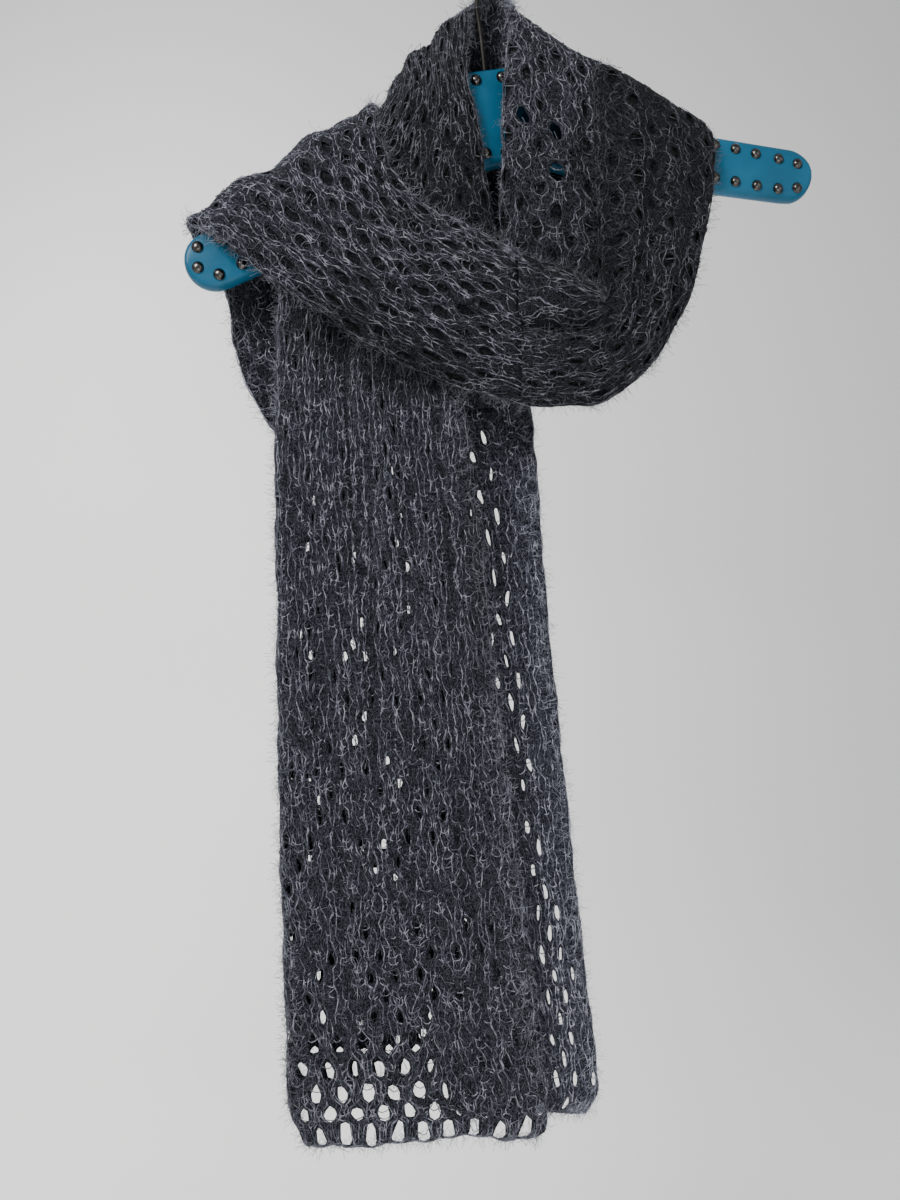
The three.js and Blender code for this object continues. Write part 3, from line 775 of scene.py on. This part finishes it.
# Geometry Nodes helpers
def new_tree(name, sizes):
    tree = bpy.data.node_groups.new(name, "GeometryNodeTree")
    tree.interface.new_socket("Geometry", in_out="INPUT", socket_type="NodeSocketGeometry")
    for label, (kind, value) in sizes.items():
        socket = tree.interface.new_socket(label, in_out="INPUT", socket_type=kind)
        socket.default_value = value
    tree.interface.new_socket("Geometry", in_out="OUTPUT", socket_type="NodeSocketGeometry")
    return tree, tree.nodes.new("NodeGroupInput").outputs, tree.nodes.new("NodeGroupOutput")


def close_tree(tree, geometry, material, output):
    realize = add_node(tree, "GeometryNodeRealizeInstances", {0: geometry})
    values = {"Geometry": realize.outputs[0], "Material": material}
    finish = add_node(tree, "GeometryNodeSetMaterial", values)
    fill(tree, output, {0: finish.outputs[0]})
    return tree


# A round tube along a curve
def sweep(tree, line, radius, sides):
    values = {"Radius": radius, "Resolution": sides}
    section = add_node(tree, "GeometryNodeCurvePrimitiveCircle", values)
    values = {"Curve": line, "Profile Curve": section.outputs["Curve"], "Fill Caps": True}
    return add_node(tree, "GeometryNodeCurveToMesh", values).outputs["Mesh"]


# A tube of yarn or wire along every line of edges
def tube_tree(name, material):
    sizes = {"Radius": ("NodeSocketFloat", YARN_RADIUS), "Sides": ("NodeSocketInt", 3)}
    tree, given, output = new_tree(name, sizes)
    lines = add_node(tree, "GeometryNodeMeshToCurve", {"Mesh": given["Geometry"]})
    tube = sweep(tree, lines.outputs["Curve"], given["Radius"], given["Sides"])
    return close_tree(tree, tube, material, output)


# Loose curved fibres that stand off the yarn
def fibre_tree(name, material, bends):
    sizes = {
        "Fibres per square metre": ("NodeSocketFloat", 24000.0),
        "Fibre length": ("NodeSocketFloat", 0.010),
        "Fibre radius": ("NodeSocketFloat", 0.00009),
        "Tilt": ("NodeSocketFloat", 0.9),
        "Seed": ("NodeSocketInt", 3),
        "Points along": ("NodeSocketInt", 3),
        "Where": ("NodeSocketString", "fuzz"),
    }
    tree, given, output = new_tree(name, sizes)
    values = {"Name": given["Where"]}
    share = add_node(tree, "GeometryNodeInputNamedAttribute", values, data_type="FLOAT")
    full = given["Fibres per square metre"]
    density = math_node(tree, "MULTIPLY", full, share.outputs["Attribute"])
    values = {"Mesh": given["Geometry"], "Density": density, "Seed": given["Seed"]}
    scatter = add_node(tree, "GeometryNodeDistributePointsOnFaces", values)
    values = {"Resolution": ARC_STEPS}
    for end, bend in zip(("Start", "Middle", "End"), bends):
        values[end] = vector_node(tree, "SCALE", {0: bend, "Scale": given["Fibre length"]})
    arc = add_node(tree, "GeometryNodeCurveQuadraticBezier", values)
    values = {"Curve": arc.outputs["Curve"], "Count": given["Points along"]}
    plain = add_node(tree, "GeometryNodeResampleCurve", values, mode="COUNT")
    fibre = sweep(tree, plain.outputs["Curve"], given["Fibre radius"], 3)
    values = {"Min": (-1.0, -1.0, 0.0), "Max": (1.0, 1.0, 2 * math.pi), "Seed": given["Seed"]}
    spin = add_node(tree, "FunctionNodeRandomValue", values, data_type="FLOAT_VECTOR")
    values = {"X": given["Tilt"], "Y": given["Tilt"], "Z": 1.0}
    amount = add_node(tree, "ShaderNodeCombineXYZ", values)
    lean = vector_node(tree, "MULTIPLY", {0: spin.outputs[0], 1: amount.outputs[0]})
    to_turn = add_node(tree, "FunctionNodeEulerToRotation", {0: lean})
    values = {"Rotation": scatter.outputs["Rotation"], "Rotate By": to_turn.outputs[0]}
    turn = add_node(tree, "FunctionNodeRotateRotation", values, rotation_space="LOCAL")
    smallest, largest = FIBRE_SCALE
    values = {2: smallest, 3: largest, "Seed": given["Seed"]}
    size = add_node(tree, "FunctionNodeRandomValue", values, data_type="FLOAT")
    values = {"Points": scatter.outputs["Points"], "Instance": fibre}
    values |= {"Rotation": turn.outputs[0], "Scale": size.outputs[1]}
    place = add_node(tree, "GeometryNodeInstanceOnPoints", values)
    return close_tree(tree, place.outputs["Instances"], material, output)


# Runs a tree on an object and keeps the plain mesh that it makes
def grow(base, tree, name, values, material):
    modifier = base.modifiers.new("grow", "NODES")
    modifier.node_group = tree
    for socket in tree.interface.items_tree:
        if socket.item_type == "SOCKET" and socket.name in values:
            modifier[socket.identifier] = values[socket.name]
    ready = base.evaluated_get(bpy.context.evaluated_depsgraph_get())
    mesh = bpy.data.meshes.new_from_object(ready)
    base.modifiers.remove(modifier)
    mesh.name = name
    mesh.materials.clear()
    mesh.materials.append(material)
    mesh.shade_smooth()
    return new_object(name, mesh)


# Materials. Each colour is a list of steps: a value and the colour there.
def new_material(name, values):
    material = bpy.data.materials.new(name)
    material.use_nodes = True
    tree = material.node_tree
    shader = tree.nodes["Principled BSDF"]
    fill(tree, shader, values)
    return material, tree, shader


def noise_at(tree, place, scale, detail, roughness):
    values = {"Vector": place, "Scale": scale, "Detail": detail, "Roughness": roughness}
    return add_node(tree, "ShaderNodeTexNoise", values).outputs["Fac"]


def object_noise(tree, scale, detail, stretch=(1, 1, 1), roughness=0.5):
    where = add_node(tree, "ShaderNodeTexCoord")
    values = {"Scale": stretch, "Vector": where.outputs["Object"]}
    turn = add_node(tree, "ShaderNodeMapping", values)
    return noise_at(tree, turn.outputs["Vector"], scale, detail, roughness)


def colour_steps(tree, value, steps):
    ramp = add_node(tree, "ShaderNodeValToRGB", {"Fac": value})
    elements = ramp.color_ramp.elements
    while len(elements) < len(steps):
        elements.new(0.5)
    for element, (position, colour) in zip(elements, steps):
        element.position = position
        element.color = (*colour, 1)
    return ramp.outputs["Color"]


# Colour steps times the painted light and shade at that place
def with_painted_light(tree, value, steps):
    shade = add_node(tree, "ShaderNodeAttribute", attribute_name="shade")
    colour = colour_steps(tree, value, steps)
    return vector_node(tree, "SCALE", {0: colour, "Scale": shade.outputs["Fac"]})


def bump_of(tree, height, strength, distance):
    values = {"Strength": strength, "Distance": distance, "Height": height}
    return add_node(tree, "ShaderNodeBump", values).outputs["Normal"]


# Knitted ground between the strands: fine crinkled lines that bend round the eyelets
def knit_ground_material():
    values = {"Roughness": 0.95, "Specular IOR Level": 0.1}
    values |= {"Sheen Weight": 0.03, "Sheen Roughness": 0.5}
    material, tree, shader = new_material("knit_ground", values)
    chart = add_node(tree, "ShaderNodeUVMap", uv_map="lace")
    parts = add_node(tree, "ShaderNodeSeparateXYZ", {0: chart.outputs["UV"]})
    p, q = parts.outputs["X"], parts.outputs["Y"]
    across = math_node(tree, "SINE", math_node(tree, "MULTIPLY", p, 2 * math.pi))
    along = math_node(tree, "SINE", math_node(tree, "MULTIPLY", q, math.pi))
    eyelet = math_node(tree, "MULTIPLY", across, along)
    lines = []
    for scale, bend, length in ((10.0, 0.10, 0.30), (14.0, -0.07, 0.38)):
        bent = math_node(tree, "ADD", p, math_node(tree, "MULTIPLY", eyelet, bend))
        values = {"X": bent, "Y": math_node(tree, "MULTIPLY", q, length), "Z": scale}
        place = add_node(tree, "ShaderNodeCombineXYZ", values)
        noise = noise_at(tree, place.outputs[0], scale, 3.0, 0.6)
        lines.append(math_node(tree, "ABSOLUTE", math_node(tree, "SUBTRACT", noise, 0.5)))
    nearest = math_node(tree, "MINIMUM", *lines)
    thin = 26.0
    line = math_node(tree, "SUBTRACT", 1.0, math_node(tree, "MULTIPLY", nearest, thin))
    line = math_node(tree, "MAXIMUM", line, 0.0)
    # The near-black between the pale lines is partly the yarn's own dark colour and partly painted shade of
    # the hollows between the fibres
    deep, middle, pale = (0.004, 0.0045, 0.007), (0.024, 0.026, 0.036), (0.115, 0.120, 0.150)
    colour = with_painted_light(tree, line, [(0.0, deep), (0.5, middle), (1.0, pale)])
    fill(tree, shader, {"Base Color": colour, "Normal": bump_of(tree, line, 0.8, 0.0010)})
    return material


def mohair_yarn_material():
    values = {"Roughness": 0.85, "Specular IOR Level": 0.2}
    values |= {"Sheen Weight": 0.08, "Sheen Roughness": 0.4}
    material, tree, shader = new_material("mohair_yarn", values)
    patches = object_noise(tree, 210.0, 2.0)
    plies = object_noise(tree, 900.0, 2.0)
    value = math_node(tree, "ADD", patches, math_node(tree, "MULTIPLY", plies, 0.6))
    deep, middle, pale = (0.018, 0.019, 0.027), (0.110, 0.113, 0.142), (0.33, 0.33, 0.38)
    colour = with_painted_light(tree, value, [(0.55, deep), (0.80, middle), (1.05, pale)])
    fill(tree, shader, {"Base Color": colour, "Normal": bump_of(tree, plies, 0.5, 0.0004)})
    return material


def loose_fibre_material():
    material, tree, shader = new_material("loose_fibre", {"Roughness": 0.7})
    steps = [(0.35, (0.10, 0.105, 0.13)), (0.65, (0.32, 0.33, 0.38))]
    fill(tree, shader, {"Base Color": with_painted_light(tree, object_noise(tree, 120.0, 1.0), steps)})
    return material


def turquoise_leather_material():
    material, tree, shader = new_material("turquoise_leather", {"Specular IOR Level": 0.35})
    clouds = object_noise(tree, 24.0, 3.0)
    deep, middle, pale = (0.003, 0.076, 0.142), (0.005, 0.108, 0.200), (0.010, 0.145, 0.260)
    colour = colour_steps(tree, clouds, [(0.30, deep), (0.60, middle), (0.85, pale)])
    grain = object_noise(tree, 1400.0, 2.0)
    wrinkles = object_noise(tree, 55.0, 4.0, (1.0, 1.0, 2.4), 0.6)
    height = math_node(tree, "ADD", math_node(tree, "MULTIPLY", grain, 0.12), wrinkles)
    gloss = math_node(tree, "MULTIPLY_ADD", clouds, 0.25, 0.30)
    values = {"Base Color": colour, "Roughness": gloss}
    fill(tree, shader, values | {"Normal": bump_of(tree, height, 0.35, 0.0015)})
    return material


def stud_metal_material():
    material, tree, shader = new_material("stud_metal", {"Metallic": 1.0})
    tarnish = object_noise(tree, 500.0, 2.0)
    steps = [(0.3, (0.05, 0.047, 0.045)), (0.7, (0.16, 0.15, 0.14))]
    rough = math_node(tree, "MULTIPLY_ADD", tarnish, 0.25, 0.12)
    fill(tree, shader, {"Base Color": colour_steps(tree, tarnish, steps), "Roughness": rough})
    return material


def hook_wire_material():
    values = {"Roughness": 0.5, "Metallic": 0.6, "Specular IOR Level": 0.3}
    material, tree, shader = new_material("hook_wire", values)
    wear = object_noise(tree, 180.0, 4.0, (1, 1, 0.2))
    colour = colour_steps(tree, wear, [(0.3, (0.010, 0.009, 0.008)), (0.7, (0.035, 0.032, 0.030))])
    fill(tree, shader, {"Base Color": colour, "Normal": bump_of(tree, wear, 0.2, 0.0003)})
    return material


knit_ground = knit_ground_material()
mohair_yarn = mohair_yarn_material()
loose_fibre = loose_fibre_material()
turquoise_leather = turquoise_leather_material()
stud_metal = stud_metal_material()
hook_wire = hook_wire_material()

# Start, middle and end of a fibre, in shares of its length
HALO_BEND = ((0, 0, 0), (0.1, 0.28, 0.42), (0.62, 0.3, 0.52))
LYING_BEND = ((-0.5, 0, 0.04), (0, 0.45, 0.10), (0.5, 0, 0.03))

LYING_FIBRES = {"Fibres per square metre": 11000.0, "Fibre length": 0.011}
LYING_FIBRES |= {"Fibre radius": 0.00020, "Tilt": 0.06}

yarn_tree = tube_tree("yarn_tubes", mohair_yarn)
wire_tree = tube_tree("wire_tube", hook_wire)
halo_tree = fibre_tree("mohair_halo", loose_fibre, HALO_BEND)
flat_tree = fibre_tree("lying_fibres", mohair_yarn, LYING_BEND)


# How the eyelets open: their width and height, as shares of half a pitch and of a row, and
# the chance that one is open
def steady(wide, tall, chance):
    def opening(across, along):
        return wide + 0 * along, tall, chance

    return opening


open_none = steady(0.70, 0.80, 0.0)
open_collar = steady(0.50, 0.74, 0.8)


def open_all(across, along):
    middle = np.exp(-(((across - 0.45) / 0.22) ** 2))
    return 0.60 + 0.35 * middle + 0 * along, 0.86, 0.95


def open_few(across, along):
    return 0.48 + 0 * along, 0.74, np.where(across > 0.7, 0.0, 0.12)


# Three eyelets of the right collar through which the bar shows
def shows_bar(across, along):
    upper, lower, half_row = 0.344, 0.469, 0.028
    inner_half, lower_place, half_pitch = 0.50, 0.4375, 0.05
    is_upper = (np.abs(along - upper) < half_row) & (across < inner_half)
    is_lower = (np.abs(along - lower) < half_row) & (np.abs(across - lower_place) < half_pitch)
    return is_upper | is_lower


def open_right_collar(across, along):
    over_bar = shows_bar(across, along)
    wide, tall = np.where(over_bar, 1.25, 0.60), np.where(over_bar, 1.0, 0.74)
    return wide, tall, np.where(over_bar, 1.0, 0.75)


def open_over_bar(across, along):
    return 1.6 + 0 * along, 1.6, np.where(shows_bar(across, along), 1.0, 0.0)


# The net at the hem of the front end covers its folded-back part and the last row of the rest
def open_front(across, along):
    late = smooth(np.clip((along - 0.35) / 0.50, 0, 1))
    first_row, folded_part, last_row = 0.875, 0.26, 0.96
    hem = (along > first_row) & (across > folded_part) | (along > last_row)
    chance = np.where(across > TURNED_BACK, 0.06 + 0.06 * late, 0.50)
    wide = np.where(hem, 1.15, 0.22 + 0.30 * late)
    return wide, np.where(hem, 1.05, 0.70), np.where(hem, 1.0, chance)


def open_back_end(across, along):
    late = smooth(np.clip((along - 0.15) / 0.6, 0, 1))
    place, drift_in, half_width = 0.30, 0.09, 0.08
    lace = np.abs(across - place + drift_in * along) < half_width
    return 0.36 + 0.14 * late, 0.84, np.where(lace, 0.85, 0.06)


# The stretches of the winding: name, rows, folds, first and last row, pitches across, eyelets,
# width rolled under along each edge, and the painted light on its yarn at its start and its end:
# below one is painted shade, above one is painted light
WINDINGS = [
    ("left_collar", COLLAR_ROWS, COLLAR_FOLDS, 0, 6, 8, open_collar, 0.008, (0.42, 0.55)),
    ("neck_back", COLLAR_ROWS, COLLAR_FOLDS, 6, 14, 8, open_none, 0.008, (1.0, 1.2)),
    ("right_collar", RIGHT_COLLAR_ROWS, RIGHT_COLLAR_FOLDS, 0, 9, 4, open_right_collar, 0.006, (0.90, 0.62)),
    ("right_loop", LOOP_ROWS, LOOP_FOLDS, 0, 11, 4, open_collar, 0.010, (0.33, 0.60)),
    ("inner_fold", TONGUE_ROWS, TONGUE_FOLDS, 0, 3, 4, open_none, 0.008, (0.50, 0.74)),
    ("cross_band", BAND_ROWS, BAND_FOLDS, -0.06, 5, 8, open_all, 0.008, (0.70, 0.84)),
    ("shoulder_fold", BAND_ROWS, BAND_FOLDS, 5, 7, 8, open_collar, 0.008, (1.0, 1.0)),
    ("back_drop", BAND_ROWS, BAND_FOLDS, 7, 12, 8, open_few, 0.006, (1.0, 1.40)),
    ("back_end", BAND_ROWS, BAND_FOLDS, 12, 21, 8, open_back_end, 0.003, (1.60, 1.60)),
]

# What each stretch does and what it lies on
HELD = {
    "left_collar": ("draped", ["hanger_cover"]),
    "neck_back": ("draped", ["hanger_cover"]),
    "right_collar": ("draped", ["hanger_cover"]),
    "right_loop": ("folded", ["hanger_cover"]),
    "inner_fold": ("folded", ["right_loop"]),
    "cross_band": ("draped", ["left_collar", "front_end"]),
    "shoulder_fold": ("draped", ["hanger_cover"]),
    "back_drop": ("hung", ["shoulder_fold"]),
    "back_end": ("hung", ["back_drop"]),
    "front_end": ("hung", ["left_collar"]),
}

# Painted shade darkens the second layer where it shows through the eyelets, and painted light brightens its
# reverse
UNDER_PAINTED_SHADE = 0.45  # of the second layer, seen through the eyelets
BACK_PAINTED_LIGHT = 1.3  # of its reverse

# The scarf is wound folded lengthwise, so these have a second layer close behind
DOUBLED = {
    "left_collar": open_none,
    "right_collar": open_over_bar,
    "right_loop": open_none,
    "cross_band": open_none,
    "shoulder_fold": open_none,
}


def make_stretches():
    stretches = []
    for seed, row in enumerate(WINDINGS, 10):
        name, rows, folds, start, end, cells, openness, roll, shade = row
        surface, flat = winding(rows, folds, start, end, roll)
        stretches.append(Stretch(name, surface, flat, cells, openness, seed, shade=shade))
    fold, free, height, under = np.array(FRONT_ROWS).T
    width = (free - fold + under).mean() + (math.pi - 1) * FOLD_RADIUS
    flat = (GATHER * width, height[0] - height[-1])
    stretches.append(Stretch("front_end", front_surface, flat, FRONT_PITCHES, open_front, seed=31))
    return stretches


def dress(stretch):
    shell = knit_shell(stretch, knit_ground)
    columns = 2 * stretch.cells
    is_front = stretch.name == "front_end"
    halves = [(0, columns // 2), (columns // 2, None)] if is_front else [(0, None)]
    extras = []
    for number, (first, last) in enumerate(halves):
        suffix = f"_{number + 1}" if is_front else ""
        groups = yarn_lines(stretch, first, last)
        if number == 0 and stretch.name in HANGING:
            groups += hem_lines(stretch)
        lines = yarn_mesh(stretch, groups, "lines")
        yarn = grow(lines, yarn_tree, stretch.name + "_yarn" + suffix, {}, mohair_yarn)
        bpy.data.objects.remove(lines)
        halo_name = stretch.name + "_halo" + suffix
        halo = grow(yarn, halo_tree, halo_name, {"Seed": stretch.seed}, loose_fibre)
        length = FRINGE_LENGTH * (0.5 if stretch.name in SHORT_FRINGE else 1.0)
        values = {"Seed": stretch.seed + 7, "Points along": 2, "Where": "fringe"}
        values |= {"Fibres per square metre": FRINGE, "Fibre length": length}
        values["Fibre radius"] = FRINGE_RADIUS
        fringe = grow(yarn, halo_tree, stretch.name + "_fringe" + suffix, values, loose_fibre)
        extras += [yarn, halo, fringe]
    values = LYING_FIBRES | {"Seed": stretch.seed}
    extras.append(grow(shell, flat_tree, stretch.name + "_lying_fibres", values, mohair_yarn))
    for piece in [shell] + extras:
        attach(piece, "root")
    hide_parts(stretch.name)
    return shell, extras


# The covered bar, as a loft along its own length
def bezier(share, start, control, end):
    return (1 - share) ** 2 * start + 2 * share * (1 - share) * control + share**2 * end


def bezier_share(start, control, end, x):
    low, high = 0.0, 1.0
    for _ in range(40):
        middle = (low + high) / 2
        low, high = (middle, high) if bezier(middle, start, control, end) < x else (low, middle)
    return (low + high) / 2


# An edge of the arm: straight until it meets the round end, at an angle in degrees there
def along_arm(x, start, height, degrees):
    angle = math.radians(degrees)
    meet = BAR_END + BAR_END_RADIUS * math.cos(angle)
    meet_z = BAR_END_HEIGHT + BAR_END_RADIUS * math.sin(angle)
    if x <= meet:
        return height + (meet_z - height) * (x - start) / (meet - start)
    rise = math.sqrt(max(0, BAR_END_RADIUS**2 - (x - BAR_END) ** 2))
    return BAR_END_HEIGHT + math.copysign(rise, degrees)


def bar_top(x):
    x = abs(x)
    if x <= BAR_PLATE:
        return PLATE_TOP
    if x <= BAR_SHOULDER:
        out, up = PLATE_CURVE
        share = bezier_share(BAR_PLATE, BAR_PLATE + out, BAR_SHOULDER, x)
        return bezier(share, PLATE_TOP, up, SHOULDER_TOP)
    return along_arm(x, BAR_SHOULDER, SHOULDER_TOP, TOP_MEETS)


def bar_bottom(x):
    x = abs(x)
    if x <= BAR_UNDER:
        share = (1 - x / BAR_UNDER) / 2
        return UNDER_BOTTOM + 2 * share * (1 - share) * UNDER_RISE
    return along_arm(x, BAR_UNDER, UNDER_BOTTOM, UNDER_MEETS)


def to_world(points):
    return [tuple(NECK + BAR_TURN @ Vector(point)) for point in points]


# A closed piece with its faces turned outwards
def closed_piece(name, points, faces):
    mesh = bpy.data.meshes.new(name)
    mesh.from_pydata(points, [], faces)
    work = bmesh.new()
    work.from_mesh(mesh)
    bmesh.ops.remove_doubles(work, verts=work.verts, dist=1e-6)
    bmesh.ops.recalc_face_normals(work, faces=work.faces)
    work.to_mesh(mesh)
    work.free()
    return new_object(name, mesh)


# One section of the bar, once round
def bar_section(x):
    top, bottom = bar_top(x), bar_bottom(x)
    middle, tall = (top + bottom) / 2, (top - bottom) / 2
    edge = min(BAR_EDGE, tall)
    deep = BAR_DEPTH / 2 * min(1, tall / BAR_THINS) ** 0.5
    side_deep = deep * (1 - BAR_CROWN)
    section = []
    for side in (-1, 1):
        for s in np.linspace(-1, 1, FACE_POINTS) * side:
            crown = deep * (1 - BAR_CROWN + BAR_CROWN * (1 - s * s))
            section.append((x, side * crown, middle - s * (tall - edge)))
        for degrees in EDGE_ANGLES:
            angle = math.radians(degrees)
            up = tall - edge + edge * math.sin(angle)
            section.append((x, side * side_deep * math.cos(angle), middle - side * up))
    return section


def hanger_cover():
    tip = BAR_END + BAR_END_RADIUS
    half = [tip * i / 60 for i in range(54)] + PLATE_STATIONS
    half += [BAR_END + BAR_END_RADIUS * math.sin(math.radians(a)) for a in range(0, 91, 6)]
    half = sorted(set(round(x, 6) for x in half))
    sections = [bar_section(x) for x in [-x for x in reversed(half) if x > 0] + half]
    count = len(sections[0])
    faces = []
    for i in range(len(sections) - 1):
        for n in range(count):
            m = (n + 1) % count
            faces.append((i * count + n, i * count + m, (i + 1) * count + m, (i + 1) * count + n))
    faces.append(tuple(reversed(range(count))))
    faces.append(tuple(range((len(sections) - 1) * count, len(sections) * count)))
    points = to_world([point for section in sections for point in section])
    cover = closed_piece("hanger_cover", points, faces)
    cover.data.shade_smooth()
    cover.data.materials.append(turquoise_leather)
    return cover


# Stud places on the front of the bar, in the bar's own plane
STUDS = {
    "stud_centre_1": (-0.0095, -0.010),
    "stud_centre_2": (0.009, -0.010),
    "stud_centre_3": (-0.013, -0.060),
    "stud_centre_4": (0.001, -0.061),
    "stud_right_top_1": (0.156, -0.076),
    "stud_right_top_2": (0.171, -0.081),
    "stud_right_top_3": (0.186, -0.0865),
    "stud_right_top_4": (0.203, -0.0925),
    "stud_right_top_5": (0.217, -0.098),
    "stud_right_low_1": (0.151, -0.099),
    "stud_right_low_2": (0.166, -0.104),
    "stud_right_low_3": (0.182, -0.109),
    "stud_right_low_4": (0.198, -0.1135),
    "stud_right_low_5": (0.213, -0.115),
    "stud_left_top_1": (-0.203, -0.091),
    "stud_left_top_2": (-0.218, -0.095),
    "stud_left_tip": (-0.2205, -0.108),
    "stud_left_low_1": (-0.192, -0.110),
    "stud_left_low_2": (-0.208, -0.1145),
}

# Rings of a stud under its tip: reach and height, as shares of its radius and its height
STUD_RINGS = [(0.35, 0.95), (0.62, 0.80), (0.82, 0.55), (0.90, 0.25), (1.0, 0.14), (1.0, -0.25)]


def one_stud():
    points, faces = [(0, -STUD_HEIGHT, 0)], []
    for out, up in STUD_RINGS:
        for n in range(STUD_SIDES):
            angle = 2 * math.pi * n / STUD_SIDES
            reach = out * STUD_RADIUS
            points.append((reach * math.cos(angle), -up * STUD_HEIGHT, reach * math.sin(angle)))
    last = 1 + (len(STUD_RINGS) - 1) * STUD_SIDES
    for n in range(STUD_SIDES):
        m = (n + 1) % STUD_SIDES
        faces.append((0, 1 + n, 1 + m))
        for a in range(1, last, STUD_SIDES):
            b = a + STUD_SIDES
            faces.append((a + n, b + n, b + m, a + m))
    faces.append(tuple(last + n for n in range(STUD_SIDES)))
    return closed_piece("one_stud", [tuple(BAR_TURN @ Vector(point)) for point in points], faces)


def hanger_studs():
    tree, given, output = new_tree("studs_on_bar", {"Stud size": ("NodeSocketFloat", 1.0)})
    pattern = one_stud()
    points = add_node(tree, "GeometryNodeMeshToPoints", {"Mesh": given["Geometry"]})
    template = add_node(tree, "GeometryNodeObjectInfo", {"Object": pattern})
    values = {"Points": points.outputs["Points"], "Instance": template.outputs["Geometry"]}
    place = add_node(tree, "GeometryNodeInstanceOnPoints", values | {"Scale": given["Stud size"]})
    close_tree(tree, place.outputs["Instances"], stud_metal, output)
    front = -BAR_DEPTH / 2 + STUD_SUNK
    base = line_object("stud_places", to_world([(x, front, z) for x, z in STUDS.values()]), [])
    studs = grow(base, tree, "hanger_studs", {}, stud_metal)
    bpy.data.objects.remove(base)
    bpy.data.objects.remove(pattern)
    return studs


# The wire rises from the bar and turns once round over the top
def hook_piece():
    middle = HOOK_RADIUS + WIRE
    points = list(HOOK_FOOT)
    for degrees in HOOK_TURN:
        angle = math.radians(degrees)
        points.append((middle * math.cos(angle), 0.0, middle * math.sin(angle) - HOOK_RADIUS))
    line = read_rows(np.array(points), np.linspace(0, len(points) - 1, WIRE_POINTS))
    edges = [(i, i + 1) for i in range(len(line) - 1)]
    base = line_object("hook_line", line.tolist(), edges)
    hook = grow(base, wire_tree, "hook_wire", {"Radius": WIRE, "Sides": WIRE_SIDES}, hook_wire)
    bpy.data.objects.remove(base)
    return hook


# Camera where the photograph was taken, turned a little about its own axis
def add_camera():
    c, s = math.cos(CAMERA_ROLL), math.sin(CAMERA_ROLL)
    lens = bpy.data.cameras.new("camera")
    lens.lens = CAMERA_LENS
    lens.sensor_width = CAMERA_SENSOR
    camera = new_object("camera", lens)
    turn = Matrix(((c, s, 0), (0, 0, -1), (-s, c, 0))).to_4x4()
    camera.matrix_world = Matrix.Translation(CAMERA_PLACE) @ turn
    bpy.context.scene.camera = camera


# Round lamps: name, place, the place that they point at, size and power
LIGHTS = [
    ("key", (-0.70, -1.28, 0.50), (0.02, 0, -0.4), 0.6, 26),
    ("low", (0.30, -1.10, -1.00), (0.02, 0, -0.62), 0.8, 4),
    ("fill", (1.3, -1.2, -0.2), (0.02, 0, -0.4), 1.2, 3),
    ("back", (0.4, 1.6, 0.9), (0.02, 0, -0.4), 1.2, 12),
    ("wash", (-1.3, 0.6, 0.3), (-0.5, 2.6, -0.4), 1.6, 58),
]


def add_light(name, place, target, size, power):
    lamp = bpy.data.lights.new(name, "AREA")
    lamp.shape = "DISK"
    lamp.size = size
    lamp.energy = power
    light = new_object(name, lamp)
    light.location = place
    direction = Vector(target) - Vector(place)
    light.rotation_euler = direction.to_track_quat("-Z", "Y").to_euler()


# One pale sheet that is floor in front and backdrop behind, with a wide curve in between
def add_stage():
    depth, floor, high, radius, near, half_width = 2.6, -1.35, 2.4, 1.3, -3.2, 5.0
    line = [(near, floor)]
    for step in range(25):
        angle = math.radians(90 * step / 24)
        y = depth - radius + radius * math.sin(angle)
        line.append((y, floor + radius - radius * math.cos(angle)))
    line.append((depth, high))
    vertices = [(x, y, z) for y, z in line for x in (-half_width, half_width)]
    faces = [(2 * i, 2 * i + 1, 2 * i + 3, 2 * i + 2) for i in range(len(line) - 1)]
    mesh = bpy.data.meshes.new("backdrop")
    mesh.from_pydata(vertices, [], faces)
    mesh.shade_smooth()
    material, tree, shader = new_material("backdrop_paint", {"Roughness": 0.85})
    steps = [(0.3, (0.80, 0.795, 0.785)), (0.7, (0.86, 0.855, 0.845))]
    tone = colour_steps(tree, object_noise(tree, 0.8, 1.0), steps)
    fill(tree, shader, {"Base Color": tone})
    mesh.materials.append(material)
    backdrop = new_object("backdrop", mesh)


def add_world():
    world = bpy.data.worlds.new("studio")
    world.use_nodes = True
    sky = world.node_tree.nodes["Background"]
    fill(world.node_tree, sky, {"Color": (0.95, 0.97, 1.0, 1), "Strength": 0.45})
    bpy.context.scene.world = world


add_camera()
add_world()
add_stage()
for light in LIGHTS:
    add_light(*light)

hanger_pieces = [
    (hanger_cover(), "leather", ["hanger_bar"]),
    (hanger_studs(), "studs", list(STUDS)),
    (hook_piece(), "wire", ["hanger_hook"]),
]
for piece, slot, nodes in hanger_pieces:
    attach(piece, "root")
    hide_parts(*nodes)


def second_layer(stretch):
    name = stretch.name + "_second_layer"
    # The second layer is painted darker than its stretch, as painted shade
    shade = [UNDER_PAINTED_SHADE * value for value in stretch.shade]
    given = (stretch.surface, stretch.flat, stretch.cells, DOUBLED[stretch.name])
    inner = Stretch(name, *given, seed=1, sunk=LAYER_GAP, shade=shade)
    shell = knit_shell(inner, knit_ground)
    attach(shell, "root")
    return shell


stretches = make_stretches()
dressed = {stretch.name: (stretch, *dress(stretch)) for stretch in stretches}
for name, (stretch, shell, extras) in dressed.items():
    held, rests = HELD[name]
    rests = [other if other == "hanger_cover" else other + "_knit" for other in rests]
    if name in DOUBLED:
        second_layer(stretch)
